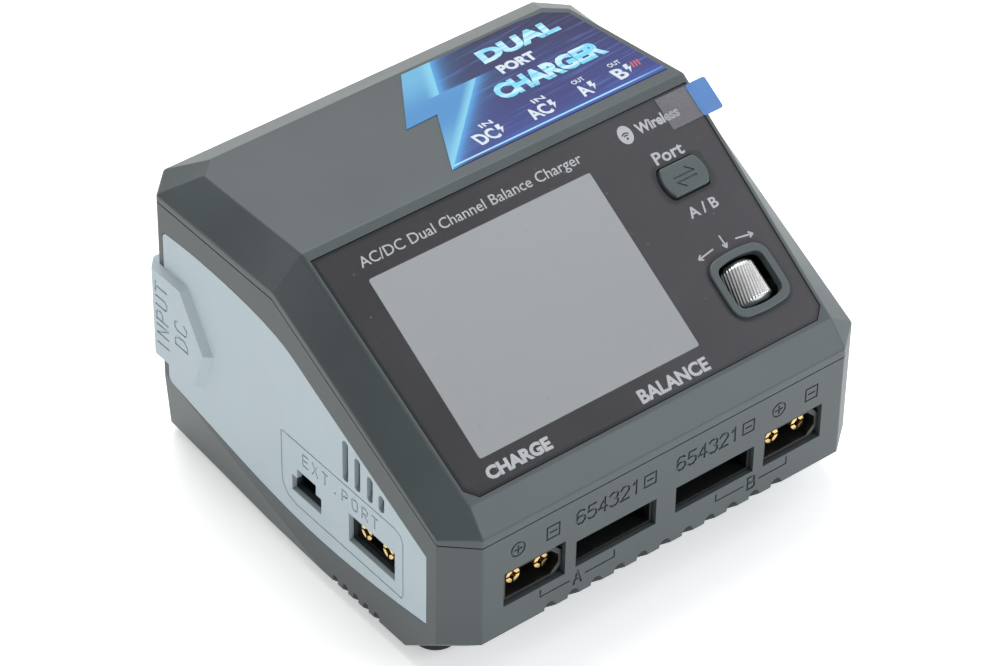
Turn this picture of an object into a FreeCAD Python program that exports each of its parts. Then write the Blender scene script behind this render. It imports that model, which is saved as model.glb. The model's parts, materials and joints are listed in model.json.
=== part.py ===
import FreeCAD, Part
import math, os

# Balance battery charger, built in millimetres. Inside this file y runs from
# the front face (y = 0) to the rear face (y = D); export moves it to the middle.
V = FreeCAD.Vector

# ---- overall sizes -------------------------------------------------------
W = 110.0                # width over the side faces
D = 105.5                # depth, front face to rear face
TOP_Z = 77.3             # height of the ridge above the display plate
FOOT_H = 2.4             # how far the feet stand out of the underside
WALL = 2.4               # housing wall
EDGE_R = 1.0             # rounding of the housing's outer edges
HX = W / 2

# ---- housing facets ------------------------------------------------------
FRONT_X = HX - 7.1       # half width of the front face
FRONT_Y = 5.7            # depth of the upright front corner facets
REAR_X = HX - 6.0
REAR_Y = D - 6.0
BASE_Z = 11.6            # lower edge of the front face
LIP_Z = 39.9             # upper edge of the front face
BEND_Y = 56.3            # where the sloping front meets the flat top
STRIP_Y, STRIP_Z = 4.6, 45.4
STRIP_X = HX - 7.4
BEND_X = HX - 5.2
SIDE_BEND_Y = BEND_Y + 2.7
SIDE_Z = TOP_Z - 9.3     # upper edge of the side faces at the rear
TOP_BACK_Y = D - 9.6
TOP_BACK_Z = TOP_Z - 3.3
TOP_BACK_X = HX - 7.0
TOP_CUT = 4.1
SIDE_FOOT_Z = FOOT_H + 1.25

# ---- seam between the two shells ----------------------------------------
SEAM = [(0, 37.6), (FRONT_Y, 38.3), (SIDE_BEND_Y + 0.4, SIDE_Z - 2.0), (D, SIDE_Z - 1.9)]
GROOVE = 0.3

# ---- display plate and controls, in the plane of the slope --------------
SLOPE = math.degrees(math.atan2(TOP_Z - STRIP_Z, BEND_Y - STRIP_Y))
PLATE_Y0 = 5.5
PLATE_L = math.hypot(BEND_Y - STRIP_Y, TOP_Z - STRIP_Z) - 3.35
PLATE_X0, PLATE_X1, PLATE_CUT = STRIP_X - 0.7, BEND_X - 1.1, 2.4
PLATE_T, PLATE_SINK, PLATE_GAP = 1.4, 0.15, 0.2
LEDGE = 2.5
LCD = (-40.0, 17.2, 6.5, 49.1)
BUTTON_X, BUTTON_S = 35.8, 39.5
BUTTON_HX, BUTTON_HY, BUTTON_BOW = 4.4, 3.5, 1.2
BUTTON_GAP = 0.35
BUTTON_UP = 0.9
PRESS = 0.7              # travel of the button and of the wheel
WHEEL_X, WHEEL_S = 35.7, 13.8
WHEEL_R, WHEEL_HL = 5.0, 5.0
WHEEL_DEPTH = WHEEL_R - 1.0   # axle below the plate
FLUTES = 30
AXLE_R = 1.0
AXLE_GAP = 0.05
RING_HX, RING_HY, RING_BOW, RING_W = WHEEL_R + 2.6, WHEEL_HL + 1.4, 0.9, 1.7
SWITCH_TOP = WHEEL_DEPTH + WHEEL_R + 3.1   # switch plungers below the plate
BOARD_DEPTH = SWITCH_TOP + 1.9             # display board below the plate
GUIDE_X = WHEEL_R + 0.2  # guide pins of the wheel carrier, each side of the axle

# ---- sockets -------------------------------------------------------------
DECK_Z = 19.2            # upper face of the main board
BOARD_T = 1.6
PIN_PITCH = 7.2
POWER_W, POWER_H = 15.6, 8.2
POWER_X = 34.5
POWER_Z = DECK_Z + POWER_H / 2
BAL_X, BAL_W, BAL_H = 13.2, 20.9, 6.6
BAL_Z = DECK_Z + BAL_H / 2 + 0.1
BAL_PINS, BAL_PITCH = 7, 2.5
WINDOW_GAP = 0.15
EXT_Y, SIGNAL_Y = 26.9, 48.9
REAR_Z = 37.0
DC_X, AC_X = -36.5, 35.0

# ---- fan -----------------------------------------------------------------
FAN, FAN_T, FAN_Z = 50.0, 15.0, 36.6
BORE_R = FAN / 2 - 1.4   # air way through the fan body
BLADE_R = BORE_R - 1.0
HUB_R = 9.5
FAN_HOLES = FAN / 2 - 5.0
GRILLE = ((0.12, 0.184), (0.228, 0.292), (0.336, 0.4))   # rings, as shares of the fan
BLADES = 7
SHAFT_R, SHAFT_GAP = 1.2, 0.05

# ---- feet, screws, vents -------------------------------------------------
FOOT_R = 5.0
FEET = [(k * (HX - b), y) for b, y in ((9.0, 17.4), (9.3, D - 9.7)) for k in (-1, 1)]
CASE_POSTS = [(k * (HX - b), y) for b, y in ((8.8, 15.4), (9.1, D - 9.9)) for k in (-1, 1)]
POST_Z = 28.0
BOARD_X, BOARD_Y0, BOARD_Y1 = HX - 12.2, 3.4, D - 19.5
BOARD_POSTS = [(9.8 - BOARD_X, 20.0), (BOARD_X - 4.8, 20.0)]
BOARD_POSTS += [(k * (BOARD_X - 4.8), BOARD_Y1 - 5) for k in (-1, 1)]
DISPLAY_POSTS = [(k * (PLATE_X0 - 1.5), s) for s in (11.5, PLATE_L - 4.4) for k in (-1, 1)]
FRONT_VENTS, FRONT_VENT_PITCH, FRONT_VENT_W = 11, 6.1, 3.0
SIDE_VENTS, SIDE_VENT_PITCH, SIDE_VENT_W = 5, 3.5, 1.8
VENT_SLOTS = [(35.5, 34.4, 45.1), (31.5, 34.5, 43.1), (27.4, 34.5, 41.1), (23.6, 34.5, 38.8)]
PANEL_T = 1.2
BLOCK_T = 1.6
ENGRAVE = 0.3
STROKE = 0.5


# ======================= small helpers ====================================
def face(pts):
    return Part.Face(Part.makePolygon([V(*p) for p in pts] + [V(*pts[0])]))


def ruled(a, b, c, d):
    return Part.makeRuledSurface(Part.makeLine(V(*a), V(*b)), Part.makeLine(V(*c), V(*d)))


def mirror(p):
    return (-p[0], p[1], p[2])


def box(x0, x1, y0, y1, z0, z1):
    return Part.makeBox(x1 - x0, y1 - y0, z1 - z0, V(x0, y0, z0))


def rod(r, p, q):
    a, b = V(*p), V(*q)
    return Part.makeCylinder(r, (b - a).Length, a, b - a)


def prism(points, z0, z1):
    return face([(x, y, z0) for x, y in points]).extrude(V(0, 0, z1 - z0))


def prism_x(points, x0, x1):
    return face([(x0, y, z) for y, z in points]).extrude(V(x1 - x0, 0, 0))


def place(shape, x, y, z, o):
    m = FreeCAD.Matrix(x[0], y[0], z[0], o[0], x[1], y[1], z[1], o[1], x[2], y[2], z[2], o[2], 0, 0, 0, 1)
    s = shape.copy()
    s.Placement = FreeCAD.Placement(m).multiply(s.Placement)
    return s


def on_front(s):
    return place(s, (1, 0, 0), (0, 0, 1), (0, -1, 0), (0, 0, 0))


def on_rear(s):
    return place(s, (-1, 0, 0), (0, 0, 1), (0, 1, 0), (0, D, 0))


def on_left(s):
    return place(s, (0, -1, 0), (0, 0, 1), (-1, 0, 0), (-HX, 0, 0))


def on_right(s):
    return place(s, (0, 1, 0), (0, 0, 1), (1, 0, 0), (HX, 0, 0))


def on_slope(s):
    a = math.radians(SLOPE)
    z0 = STRIP_Z + (PLATE_Y0 - STRIP_Y) * math.tan(a)
    return place(s, (1, 0, 0), (0, math.cos(a), math.sin(a)), (0, -math.sin(a), math.cos(a)), (0, PLATE_Y0, z0))


def on_top(s):
    a = math.atan2(TOP_BACK_Z - TOP_Z, TOP_BACK_Y - BEND_Y)
    return place(s, (1, 0, 0), (0, math.cos(a), math.sin(a)), (0, -math.sin(a), math.cos(a)), (0, BEND_Y, TOP_Z))


def keep_side(shape, a, b, c, inset=0.0, inside=None):
    """Cut away what lies beyond the plane a-b-c, moved inward by inset."""
    a, b, c = V(*a), V(*b), V(*c)
    n = (b - a).cross(c - a)
    n.normalize()
    if n.dot((inside or V(0, D / 2, TOP_Z / 2)) - a) > 0:
        n = n * -1
    t = n.cross(V(0, 0, 1)) if abs(n.z) < 0.9 else n.cross(V(1, 0, 0))
    t.normalize()
    blade = place(box(-300, 300, -300, 300, 0, 200), t, n.cross(t), n, a - n * inset)
    return shape.cut(blade)


def bowed(cx, cy, hx, hy, bow_x, bow_y, r, grow, z0, z1):
    """A rounded rectangle whose sides swell outward by bow_x and bow_y."""
    x, y = hx + grow, hy + grow
    c = [V(-x, -y, 0), V(x, -y, 0), V(x, y, 0), V(-x, y, 0)]
    m = [V(0, -y - bow_y, 0), V(x + bow_x, 0, 0), V(0, y + bow_y, 0), V(-x - bow_x, 0, 0)]
    edges = []
    for i in range(4):
        p, q = c[i], c[(i + 1) % 4]
        if (m[i] - (p + q) * 0.5).Length < 1e-6:
            edges.append(Part.makeLine(p, q))
        else:
            edges.append(Part.Arc(p, m[i], q).toShape())
    s = Part.Face(Part.Wire(edges)).extrude(V(0, 0, z1 - z0))
    s = s.makeFillet(r + grow, upright(s))
    s.translate(V(cx, cy, z0))
    return s


def upright(s):
    out = []
    for e in s.Edges:
        a, b = e.Vertexes[0].Point, e.Vertexes[-1].Point
        if abs(a.x - b.x) + abs(a.y - b.y) < 1e-6 and abs(a.z - b.z) > 1e-6:
            out.append(e)
    return out


def round_rect(x0, x1, y0, y1, r, z0, z1):
    s = box(x0, x1, y0, y1, z0, z1)
    return s.makeFillet(r, upright(s))


def slot_z(cx, y0, y1, w, z0, z1):
    return round_rect(cx - w / 2, cx + w / 2, y0, y1, w / 2 - 0.01, z0, z1)


# ======================= engraved marks ===================================
GLYPHS = {
    "A": [[(0, 0), (.3, 1), (.6, 0)], [(.12, .36), (.48, .36)]],
    "B": [[(0, .52), (.42, .52), (.56, .64), (.56, .88), (.42, 1), (0, 1), (0, 0), (.45, 0), (.6, .14), (.6, .38),
           (.42, .52)]],
    "C": [[(.6, .8), (.42, 1), (.18, 1), (0, .8), (0, .2), (.18, 0), (.42, 0), (.6, .2)]],
    "D": [[(0, 0), (0, 1), (.35, 1), (.6, .75), (.6, .25), (.35, 0), (0, 0)]],
    "E": [[(.6, 1), (0, 1), (0, 0), (.6, 0)], [(0, .52), (.5, .52)]],
    "I": [[(.3, 0), (.3, 1)]],
    "N": [[(0, 0), (0, 1), (.6, 0), (.6, 1)]],
    "O": [[(.18, 0), (0, .2), (0, .8), (.18, 1), (.42, 1), (.6, .8), (.6, .2), (.42, 0), (.18, 0)]],
    "P": [[(0, 0), (0, 1), (.42, 1), (.6, .86), (.6, .6), (.42, .46), (0, .46)]],
    "R": [[(0, 0), (0, 1), (.42, 1), (.6, .86), (.6, .6), (.42, .46), (0, .46)], [(.3, .46), (.6, 0)]],
    "T": [[(.3, 0), (.3, 1)], [(0, 1), (.6, 1)]],
    "U": [[(0, 1), (0, .2), (.18, 0), (.42, 0), (.6, .2), (.6, 1)]],
    "X": [[(0, 0), (.6, 1)], [(0, 1), (.6, 0)]],
    "1": [[(.12, .8), (.34, 1), (.34, 0)]],
    "2": [[(0, .8), (.16, 1), (.44, 1), (.6, .82), (.6, .62), (0, 0), (.6, 0)]],
    "3": [[(0, .86), (.16, 1), (.44, 1), (.58, .84), (.58, .66), (.4, .52), (.6, .36), (.6, .16), (.44, 0), (.16, 0),
           (0, .14)]],
    "4": [[(.45, 0), (.45, 1), (0, .3), (.6, .3)]],
    "5": [[(.56, 1), (.06, 1), (.03, .55), (.4, .6), (.6, .42), (.6, .18), (.42, 0), (.16, 0), (0, .14)]],
    "6": [[(.54, .9), (.4, 1), (.18, 1), (0, .78), (0, .2), (.18, 0), (.42, 0), (.6, .18), (.6, .4), (.42, .56),
           (.18, .56), (0, .4)]],
    ".": [[(.26, 0), (.34, 0)]],
}


def strokes(line, width=STROKE, depth=ENGRAVE):
    """Cutters for a run of straight strokes drawn in the local x-y plane."""
    out = []
    for (x0, y0), (x1, y1) in zip(line, line[1:]):
        n = math.hypot(x1 - x0, y1 - y0)
        s = box(-width / 2, n + width / 2, -width / 2, width / 2, -depth, 0.6)
        s.rotate(V(0, 0, 0), V(0, 0, 1), math.degrees(math.atan2(y1 - y0, x1 - x0)))
        s.translate(V(x0, y0, 0))
        out.append(s)
    return out


def lettering(text, cx, cy, h, pitch=0.92, width=STROKE, turn=0.0):
    """Cutters for text centred on (cx, cy), turned about that point."""
    out = []
    step = h * pitch
    x = -(len(text) - 1) * step / 2 - 0.3 * h
    for ch in text:
        for line in GLYPHS.get(ch, []):
            out += strokes([(x + a * h, (b - 0.5) * h) for a, b in line], width)
        x += step
    for s in out:
        s.rotate(V(0, 0, 0), V(0, 0, 1), turn)
        s.translate(V(cx, cy, 0))
    return out


def ring_mark(cx, cy, r, width=STROKE):
    s = Part.makeCylinder(r + width / 2, ENGRAVE + 0.6, V(cx, cy, -ENGRAVE))
    return s.cut(Part.makeCylinder(r - width / 2, ENGRAVE + 0.6, V(cx, cy, -ENGRAVE)))


def square_mark(cx, cy, hx, hy):
    return strokes([(cx - hx, cy - hy), (cx + hx, cy - hy), (cx + hx, cy + hy), (cx - hx, cy + hy), (cx - hx, cy - hy)],
                   0.4)


def front_marks():
    """Polarity signs, cell numbers and channel brackets over the outputs."""
    out = []
    zs = BASE_Z + 20.9
    for cx in (-POWER_X, POWER_X):
        out.append(ring_mark(cx - 4.4, zs + 0.2, 1.7, 0.4))
        out += strokes([(cx - 5.3, zs + 0.2), (cx - 3.5, zs + 0.2)], 0.4)
        out += strokes([(cx - 4.4, zs - 0.7), (cx - 4.4, zs + 1.1)], 0.4)
        out += square_mark(cx + 4.6, zs, 1.6, 1.6)
        out += strokes([(cx + 3.8, zs), (cx + 5.4, zs)], 0.4)
    for cx in (-BAL_X, BAL_X):
        out += lettering("654321", cx - 2.4, zs - 0.1, 3.5, 0.82, 0.48)
        out += square_mark(cx + 8.6, zs - 0.1, 1.5, 1.5)
        out += strokes([(cx + 7.9, zs - 0.1), (cx + 9.3, zs - 0.1)], 0.4)
    zb = DECK_Z - 3.0
    for cx, letter in ((-23.2, "A"), (23.5, "B")):
        out += lettering(letter, cx, zb, 3.2, 0.9, 0.5)
        for k in (-1, 1):
            out += strokes([(cx + k * 2.2, zb), (cx + k * 9.7, zb), (cx + k * 9.7, zb + 1.8)], 0.35)
    return [on_front(s) for s in out]


# ======================= housing ==========================================
def corner_points():
    slope = (TOP_BACK_Z - TOP_Z) / (TOP_BACK_Y - BEND_Y)
    back = TOP_BACK_Y - TOP_CUT
    return {
        "F0": (-FRONT_X, 0, -6), "F1": (-FRONT_X, 0, LIP_Z), "S0": (-HX, FRONT_Y, -6), "S1": (-HX, FRONT_Y, LIP_Z),
        "M1": (-HX, SIDE_BEND_Y, SIDE_Z - 0.1), "R0": (-HX, REAR_Y, -6), "R1": (-HX, REAR_Y, SIDE_Z),
        "B0": (-REAR_X, D, -6), "B1": (-REAR_X, D, SIDE_Z), "P0": (-STRIP_X, STRIP_Y, STRIP_Z),
        "Q1": (-BEND_X, BEND_Y, TOP_Z), "T2": (-TOP_BACK_X, back, TOP_Z + slope * (back - BEND_Y)),
        "T3": (-TOP_BACK_X + TOP_CUT, TOP_BACK_Y, TOP_BACK_Z),
    }


def faceted_body():
    """The closed outer form down to below the underside, edges rounded."""
    c = corner_points()
    d = {k: mirror(p) for k, p in c.items()}
    faces = [
        face([c["F0"], d["F0"], d["F1"], c["F1"]]), face([c["F1"], d["F1"], d["P0"], c["P0"]]),
        face([c["P0"], d["P0"], d["Q1"], c["Q1"]]),
        face([c["Q1"], d["Q1"], d["T2"], d["T3"], c["T3"], c["T2"]]),
        face([c["T3"], d["T3"], d["B1"], c["B1"]]), face([c["B0"], d["B0"], d["B1"], c["B1"]]),
        face([c["F0"], d["F0"], d["S0"], d["R0"], d["B0"], c["B0"], c["R0"], c["S0"]]),
    ]
    for p in (c, d):
        faces += [
            face([p["F0"], p["F1"], p["S1"], p["S0"]]), face([p["F1"], p["S1"], p["P0"]]),
            ruled(p["S1"], p["M1"], p["P0"], p["Q1"]), face([p["S0"], p["S1"], p["M1"], p["R1"], p["R0"]]),
            ruled(p["M1"], p["R1"], p["Q1"], p["T2"]), ruled(p["R1"], p["B1"], p["T2"], p["T3"]),
            face([p["R0"], p["R1"], p["B1"], p["B0"]]),
        ]
    skin = Part.makeCompound(faces)
    skin.sewShape()
    body = Part.Solid(skin.Shells[0])
    if body.Volume < 0:
        body.reverse()
    edges = [e for e in body.Edges if max(v.Point.z for v in e.Vertexes) > 10]
    return body.makeFillet(EDGE_R, edges)


def underside_cuts(body, inset=0.0):
    """The undercut below the front face, the lower bevels and the floor."""
    run = BASE_Z - FOOT_H
    body = keep_side(body, (0, 0, BASE_Z), (1, 0, BASE_Z), (0, run, FOOT_H), inset)
    n = math.hypot(HX - FRONT_X, FRONT_Y)
    for k in (-1, 1):
        nx, ny = -k * FRONT_Y / n, (HX - FRONT_X) / n
        body = keep_side(body, (k * FRONT_X, 0, BASE_Z), (k * HX, FRONT_Y, BASE_Z),
                         (k * FRONT_X + nx * run, ny * run, FOOT_H), inset)
        body = keep_side(body, (k * HX, 0, SIDE_FOOT_Z), (k * HX, 9, SIDE_FOOT_Z), (k * (HX - 1.25), 0, FOOT_H), inset)
        body = keep_side(body, (k * HX, REAR_Y, 20.0), (k * HX, 44.0, SIDE_FOOT_Z),
                         (k * (HX - 2.8), REAR_Y, SIDE_FOOT_Z), inset)
    body = keep_side(body, (0, D, FOOT_H + 3), (1, D, FOOT_H + 3), (0, D - 2.0, FOOT_H), inset)
    return body.cut(box(-90, 90, -20, D + 20, -20, FOOT_H + inset))


def outer_form():
    return underside_cuts(faceted_body())


def inner_form():
    """The hollow: every facet moved inward by the wall."""
    c = corner_points()
    body = box(-HX + WALL, HX - WALL, WALL, D - WALL, 0, TOP_Z + 5)
    flat = [((0, 0, LIP_Z), (1, 0, LIP_Z), (0, STRIP_Y, STRIP_Z)),
            ((0, STRIP_Y, STRIP_Z), (1, STRIP_Y, STRIP_Z), (0, BEND_Y, TOP_Z)),
            ((0, BEND_Y, TOP_Z), (1, BEND_Y, TOP_Z), (0, TOP_BACK_Y, TOP_BACK_Z)),
            ((0, TOP_BACK_Y, TOP_BACK_Z), (1, TOP_BACK_Y, TOP_BACK_Z), (0, D, SIDE_Z))]
    for plane in flat:
        body = keep_side(body, *plane, inset=WALL)
    sides = [("F0", "F1", "S1"), ("F1", "S1", "P0"), ("S1", "P0", "Q1"), ("S1", "Q1", "M1"), ("M1", "Q1", "R1"),
             ("Q1", "T2", "R1"), ("R1", "B1", "T3"), ("R1", "T2", "T3"), ("R0", "R1", "B1")]
    for names in sides:
        pts = [c[n] for n in names]
        body = keep_side(body, *pts, inset=WALL)
        body = keep_side(body, *[mirror(p) for p in pts], inset=WALL)
    return underside_cuts(body, WALL)


def seam_block():
    pts = [(-20, -20), (-20, SEAM[0][1])] + SEAM + [(D + 20, SEAM[-1][1]), (D + 20, -20)]
    return prism_x(pts, -90, 90)


def panel_wire(grow):
    """Outline of a side panel in (depth, height), straight and curved runs."""
    a, b = 9.0 - grow, D - 7.7 + grow
    top = [(46.0, 51.8 + grow * 1.12), (55.9, 56.6 + grow), (63.0, 58.3 + grow), (71.0, 59.3 + grow),
           (84.0, 59.9 + grow), (b, 59.3 + grow)]
    low = [(b, 19.2 - grow), (81.0, 16.2 - grow), (67.5, 13.9 - grow), (54.0, 12.3 - grow), (38.0, 12.0 - grow),
           (22.0, 13.2 - grow), (a, 14.9 - grow)]
    f = 33.0 - grow * 0.5 + grow * 1.12
    c1 = Part.BSplineCurve()
    c1.interpolate([V(0, y, z) for y, z in top], InitialTangent=V(0, 1, 0.508) * 12, FinalTangent=V(0, 1, -0.07) * 12)
    c2 = Part.BSplineCurve()
    c2.interpolate([V(0, y, z) for y, z in low])
    edges = [Part.makeLine(V(0, a, low[-1][1]), V(0, a, f)), Part.makeLine(V(0, a, f), V(0, *top[0])),
             c1.toShape(), Part.makeLine(V(0, *top[-1]), V(0, *low[0])), c2.toShape()]
    return Part.Wire(edges)


def panel_slab(side, grow, x0, x1):
    """Side panel outline from x0 to x1 mm below the side face."""
    s = Part.Face(panel_wire(grow)).extrude(V(x1 - x0, 0, 0))
    s.translate(V(HX - x1, 0, 0))
    keep = [e for e in s.Edges if abs(e.Length - (x1 - x0)) < 1e-6 and e.Vertexes[0].Point.y > D - 15]
    s = s.makeFillet(1.6, keep)
    if side < 0:
        s = s.mirror(V(0, 0, 0), V(1, 0, 0))
    return s


def block_form(side):
    """The raised arrow block at the rear end of a side panel."""
    tip, up, low = (D - 24.6, 36.5), (D - 16.4, 49.9), (D - 20.4, 25.2)
    end = D - 3.4
    h = HX + BLOCK_T
    s = prism_x([(end, 25.2), low, tip, up, (end, 49.9)], HX - 7, h)
    mid = (tip[0] + 1.6, tip[1])
    lo, hi = (low[0] + 1.5, low[1] + 0.4), (up[0] + 1.5, up[1] - 0.4)
    for a, b, c in (((HX, *tip), (HX, *up), (h, *mid)), ((HX, *low), (HX, *tip), (h, *mid))):
        s = keep_side(s, a, b, c, inside=V(HX, D - 10.5, 37))
    s = keep_side(s, (HX, 0, 49.9), (HX, 9, 49.9), (h, 0, 49.1), inside=V(HX, D - 10.5, 37))
    s = keep_side(s, (HX, 0, 25.2), (HX, 9, 25.2), (h, 0, 26.0), inside=V(HX, D - 10.5, 37))
    n = V(6.0, 6.0, 0)
    n.normalize()
    p = V(HX, REAR_Y, 0) + n * BLOCK_T
    s = keep_side(s, (p.x, p.y, 0), (p.x, p.y, 9), (p.x - 1, p.y + 1, 0), inside=V(HX, D - 15.5, 37))
    if side < 0:
        s = s.mirror(V(0, 0, 0), V(1, 0, 0))
    return s


def side_openings(x0, x1):
    """Ports and vents of the left wall, cut from x0 to x1 below the face."""
    out = [slot_z(-y, z0, z1, 1.9, -x1, -x0) for y, z0, z1 in VENT_SLOTS]
    w = POWER_W / 2 - WINDOW_GAP
    out.append(box(-EXT_Y - w, -EXT_Y + w, POWER_Z - 4.3, POWER_Z + 3.2, -x1, -x0))
    out.append(box(-SIGNAL_Y - 5.0, -SIGNAL_Y + 5.0, DECK_Z + 0.1, DECK_Z + 4.3, -x1, -x0))
    out.append(box(-SIGNAL_Y - 3.2, -SIGNAL_Y + 3.2, DECK_Z + 4.3, DECK_Z + 6.8, -x1, -x0))
    return [on_left(s) for s in out]


def vents_right(x0, x1):
    return [on_right(slot_z(y, z0, z1, 1.9, -x1, -x0)) for y, z0, z1 in VENT_SLOTS]


def floor_vents():
    out = []
    for i in range(FRONT_VENTS):
        x = (i - (FRONT_VENTS - 1) / 2) * FRONT_VENT_PITCH + 0.3
        r = FRONT_VENT_W / 2
        out.append(box(x - r, x + r, -2, 24, -5, BASE_Z + 0.2))
        out.append(rod(r, (x, -2, BASE_Z + 0.2), (x, 24, BASE_Z + 0.2)))
    for k in (-1, 1):
        for i in range(SIDE_VENTS):
            y = 32.5 + (i - (SIDE_VENTS - 1) / 2) * SIDE_VENT_PITCH
            r = SIDE_VENT_W / 2
            xa, xb = sorted((k * (HX + 2), k * (HX - 11)))
            out.append(box(xa, xb, y - r, y + r, -5, SIDE_FOOT_Z + 0.9))
            out.append(rod(r, (xa, y, SIDE_FOOT_Z + 0.9), (xb, y, SIDE_FOOT_Z + 0.9)))
    for i in range(9):
        x = (i - 4) * FRONT_VENT_PITCH
        out.append(slot_z(x, 46, 72, FRONT_VENT_W, -5, 8))
    return out


def rear_cuts():
    out = []
    for r0, r1 in [(a * FAN, b * FAN) for a, b in GRILLE]:
        g = Part.makeCylinder(r1, 6, V(0, FAN_Z, -5)).cut(Part.makeCylinder(r0, 6, V(0, FAN_Z, -5)))
        for a in range(4):
            bar = box(-25, 25, -1.3, 1.3, -6, 2)
            bar.rotate(V(0, 0, 0), V(0, 0, 1), 45 * a)
            bar.translate(V(0, FAN_Z, 0))
            g = g.cut(bar)
        out.append(g)
    for sx in (-1, 1):
        for sz in (-1, 1):
            out.append(Part.makeCylinder(1.7, 6, V(sx * FAN_HOLES, FAN_Z + sz * FAN_HOLES, -5)))
            out.append(Part.makeCylinder(2.8, 6, V(sx * FAN_HOLES, FAN_Z + sz * FAN_HOLES, -1.5)))
    g = WINDOW_GAP
    out.append(box(-DC_X - POWER_H / 2 - g, -DC_X + POWER_H / 2 + g, REAR_Z - POWER_W / 2 - g,
                   REAR_Z + POWER_W / 2 + g, -5, 1))
    out.append(round_rect(-AC_X - 7 - g, -AC_X + 7 + g, REAR_Z - 10.5 - g, REAR_Z + 10.5 + g, 1.5, -5, 1))
    return [on_rear(s) for s in out]


def front_windows():
    g = WINDOW_GAP
    out = []
    for k in (-1, 1):
        x = k * POWER_X
        w, h = POWER_W / 2 + g, POWER_H / 2
        out.append(box(x - w, x + w, -1, 5, POWER_Z - h - 2 * g, POWER_Z + h + 0.5))
        x = k * BAL_X
        w, h = BAL_W / 2 + g, BAL_H / 2
        out.append(box(x - w, x + w, -1, 5, BAL_Z - h - 0.1, BAL_Z + h + 0.2))
    return out


def bottom_case(outer, inner, below):
    s = outer.common(below).cut(inner)
    s = s.cut([panel_slab(-1, 0.15, 0, PANEL_T + 0.05).copy(), panel_slab(1, 0.15, 0, PANEL_T + 0.05)])
    s = s.cut([panel_slab(-1, 0.15, -3, 0.1), panel_slab(1, 0.15, -3, 0.1)])
    s = s.cut(floor_vents())
    posts = [Part.makeCylinder(3.2, POST_Z - FOOT_H - 0.5, V(x, y, FOOT_H + 0.5)) for x, y in CASE_POSTS]
    posts += [Part.makeCylinder(3.0, DECK_Z - BOARD_T - FOOT_H - 1, V(x, y, FOOT_H + 1)) for x, y in BOARD_POSTS]
    s = s.fuse([p.common(outer) for p in posts])
    cuts = front_windows() + side_openings(-1, 5) + vents_right(-1, 5) + rear_cuts() + front_marks()
    for x, y in CASE_POSTS:
        cuts.append(Part.makeCylinder(1.6, 60, V(x, y, -1)))
        cuts.append(Part.makeCylinder(2.5, 6, V(x, y, -1)))
    for x, y in BOARD_POSTS:
        cuts.append(Part.makeCylinder(1.2, 10, V(x, y, DECK_Z - BOARD_T - 9)))
    for x, y in FEET:
        cuts.append(Part.makeCylinder(FOOT_R + 0.1, 1.6, V(x, y, FOOT_H - 1.0)))
    return s.cut(cuts)


def plate_outline(grow, z0, z1):
    g = grow
    pts = [(-PLATE_X0 + PLATE_CUT - g * 0.4, -g), (PLATE_X0 - PLATE_CUT + g * 0.4, -g), (PLATE_X0 + g, PLATE_CUT - g * 0.4),
           (PLATE_X1 + g, PLATE_L + g), (-PLATE_X1 - g, PLATE_L + g), (-PLATE_X0 - g, PLATE_CUT - g * 0.4)]
    return prism(pts, z0, z1)


def top_cover(outer, inner, below):
    s = outer.cut(below).cut(inner)
    s = s.cut(seam_gap(below))
    s = s.cut(on_slope(plate_outline(PLATE_GAP, -PLATE_T - PLATE_SINK, 3)))
    s = s.cut(on_slope(plate_outline(-LEDGE, -8, 3)))
    posts = [on_slope(Part.makeCylinder(2.4, BOARD_DEPTH - PLATE_T - PLATE_SINK, V(x, y, -BOARD_DEPTH)))
             for x, y in DISPLAY_POSTS]
    posts += [Part.makeCylinder(3.2, 60, V(x, y, POST_Z)) for x, y in CASE_POSTS]
    s = s.fuse([p.common(outer) for p in posts])
    cuts = [on_slope(plate_outline(PLATE_GAP, -PLATE_T - PLATE_SINK, 3))]
    cuts += [Part.makeCylinder(1.4, 12, V(x, y, POST_Z - 1)) for x, y in CASE_POSTS]
    cuts += [on_slope(Part.makeCylinder(1.0, 6, V(x, y, -BOARD_DEPTH - 1))) for x, y in DISPLAY_POSTS]
    return s.cut(cuts)


def seam_gap(below):
    """A thin strip along the seam that makes the visible joint line."""
    lifted = below.copy()
    lifted.translate(V(0, 0, GROOVE))
    band = lifted.cut(below)
    hold = box(-HX + 0.5, HX - 0.5, 0.5, D - 0.5, -5, TOP_Z)
    n = 0.5
    hold = keep_side(hold, (-FRONT_X, 0, 0), (-HX, FRONT_Y, 0), (-HX, FRONT_Y, 9), n)
    hold = keep_side(hold, (FRONT_X, 0, 0), (HX, FRONT_Y, 0), (HX, FRONT_Y, 9), n)
    hold = keep_side(hold, (-REAR_X, D, 0), (-HX, REAR_Y, 0), (-HX, REAR_Y, 9), n)
    hold = keep_side(hold, (REAR_X, D, 0), (HX, REAR_Y, 0), (HX, REAR_Y, 9), n)
    return band.cut(hold)


def left_side_panel(outer):
    s = panel_slab(-1, 0, 0, PANEL_T).fuse(block_form(-1).cut(outer))
    s = s.cut(side_openings(-3, 5))
    cuts = []
    line = [(-57.4, 21.0), (-57.4, 32.9), (-57.0, 33.3), (-19.2, 33.3), (-17.4, 32.6), (-16.6, 30.8), (-16.6, 16.6),
            (-17.3, 15.9), (-52.4, 15.9), (-55.4, 16.8), (-57.0, 18.8), (-57.4, 21.0)]
    cuts += strokes(line, 0.35, 0.25)
    cuts += lettering("EXT.PORT", -37.5, 30.0, 2.9, 1.15, 0.4)
    cuts = [on_left(c) for c in cuts]
    marks = lettering("INPUT", 8.5 - D, 37.6, 3.9, 0.98, 0.5, 90.0) + lettering("DC", 15.3 - D, 37.0, 4.2, 0.98, 0.5, 90.0)
    for m in marks:
        m.translate(V(0, 0, BLOCK_T))
        cuts.append(on_left(m))
    return s.cut(cuts)


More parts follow.
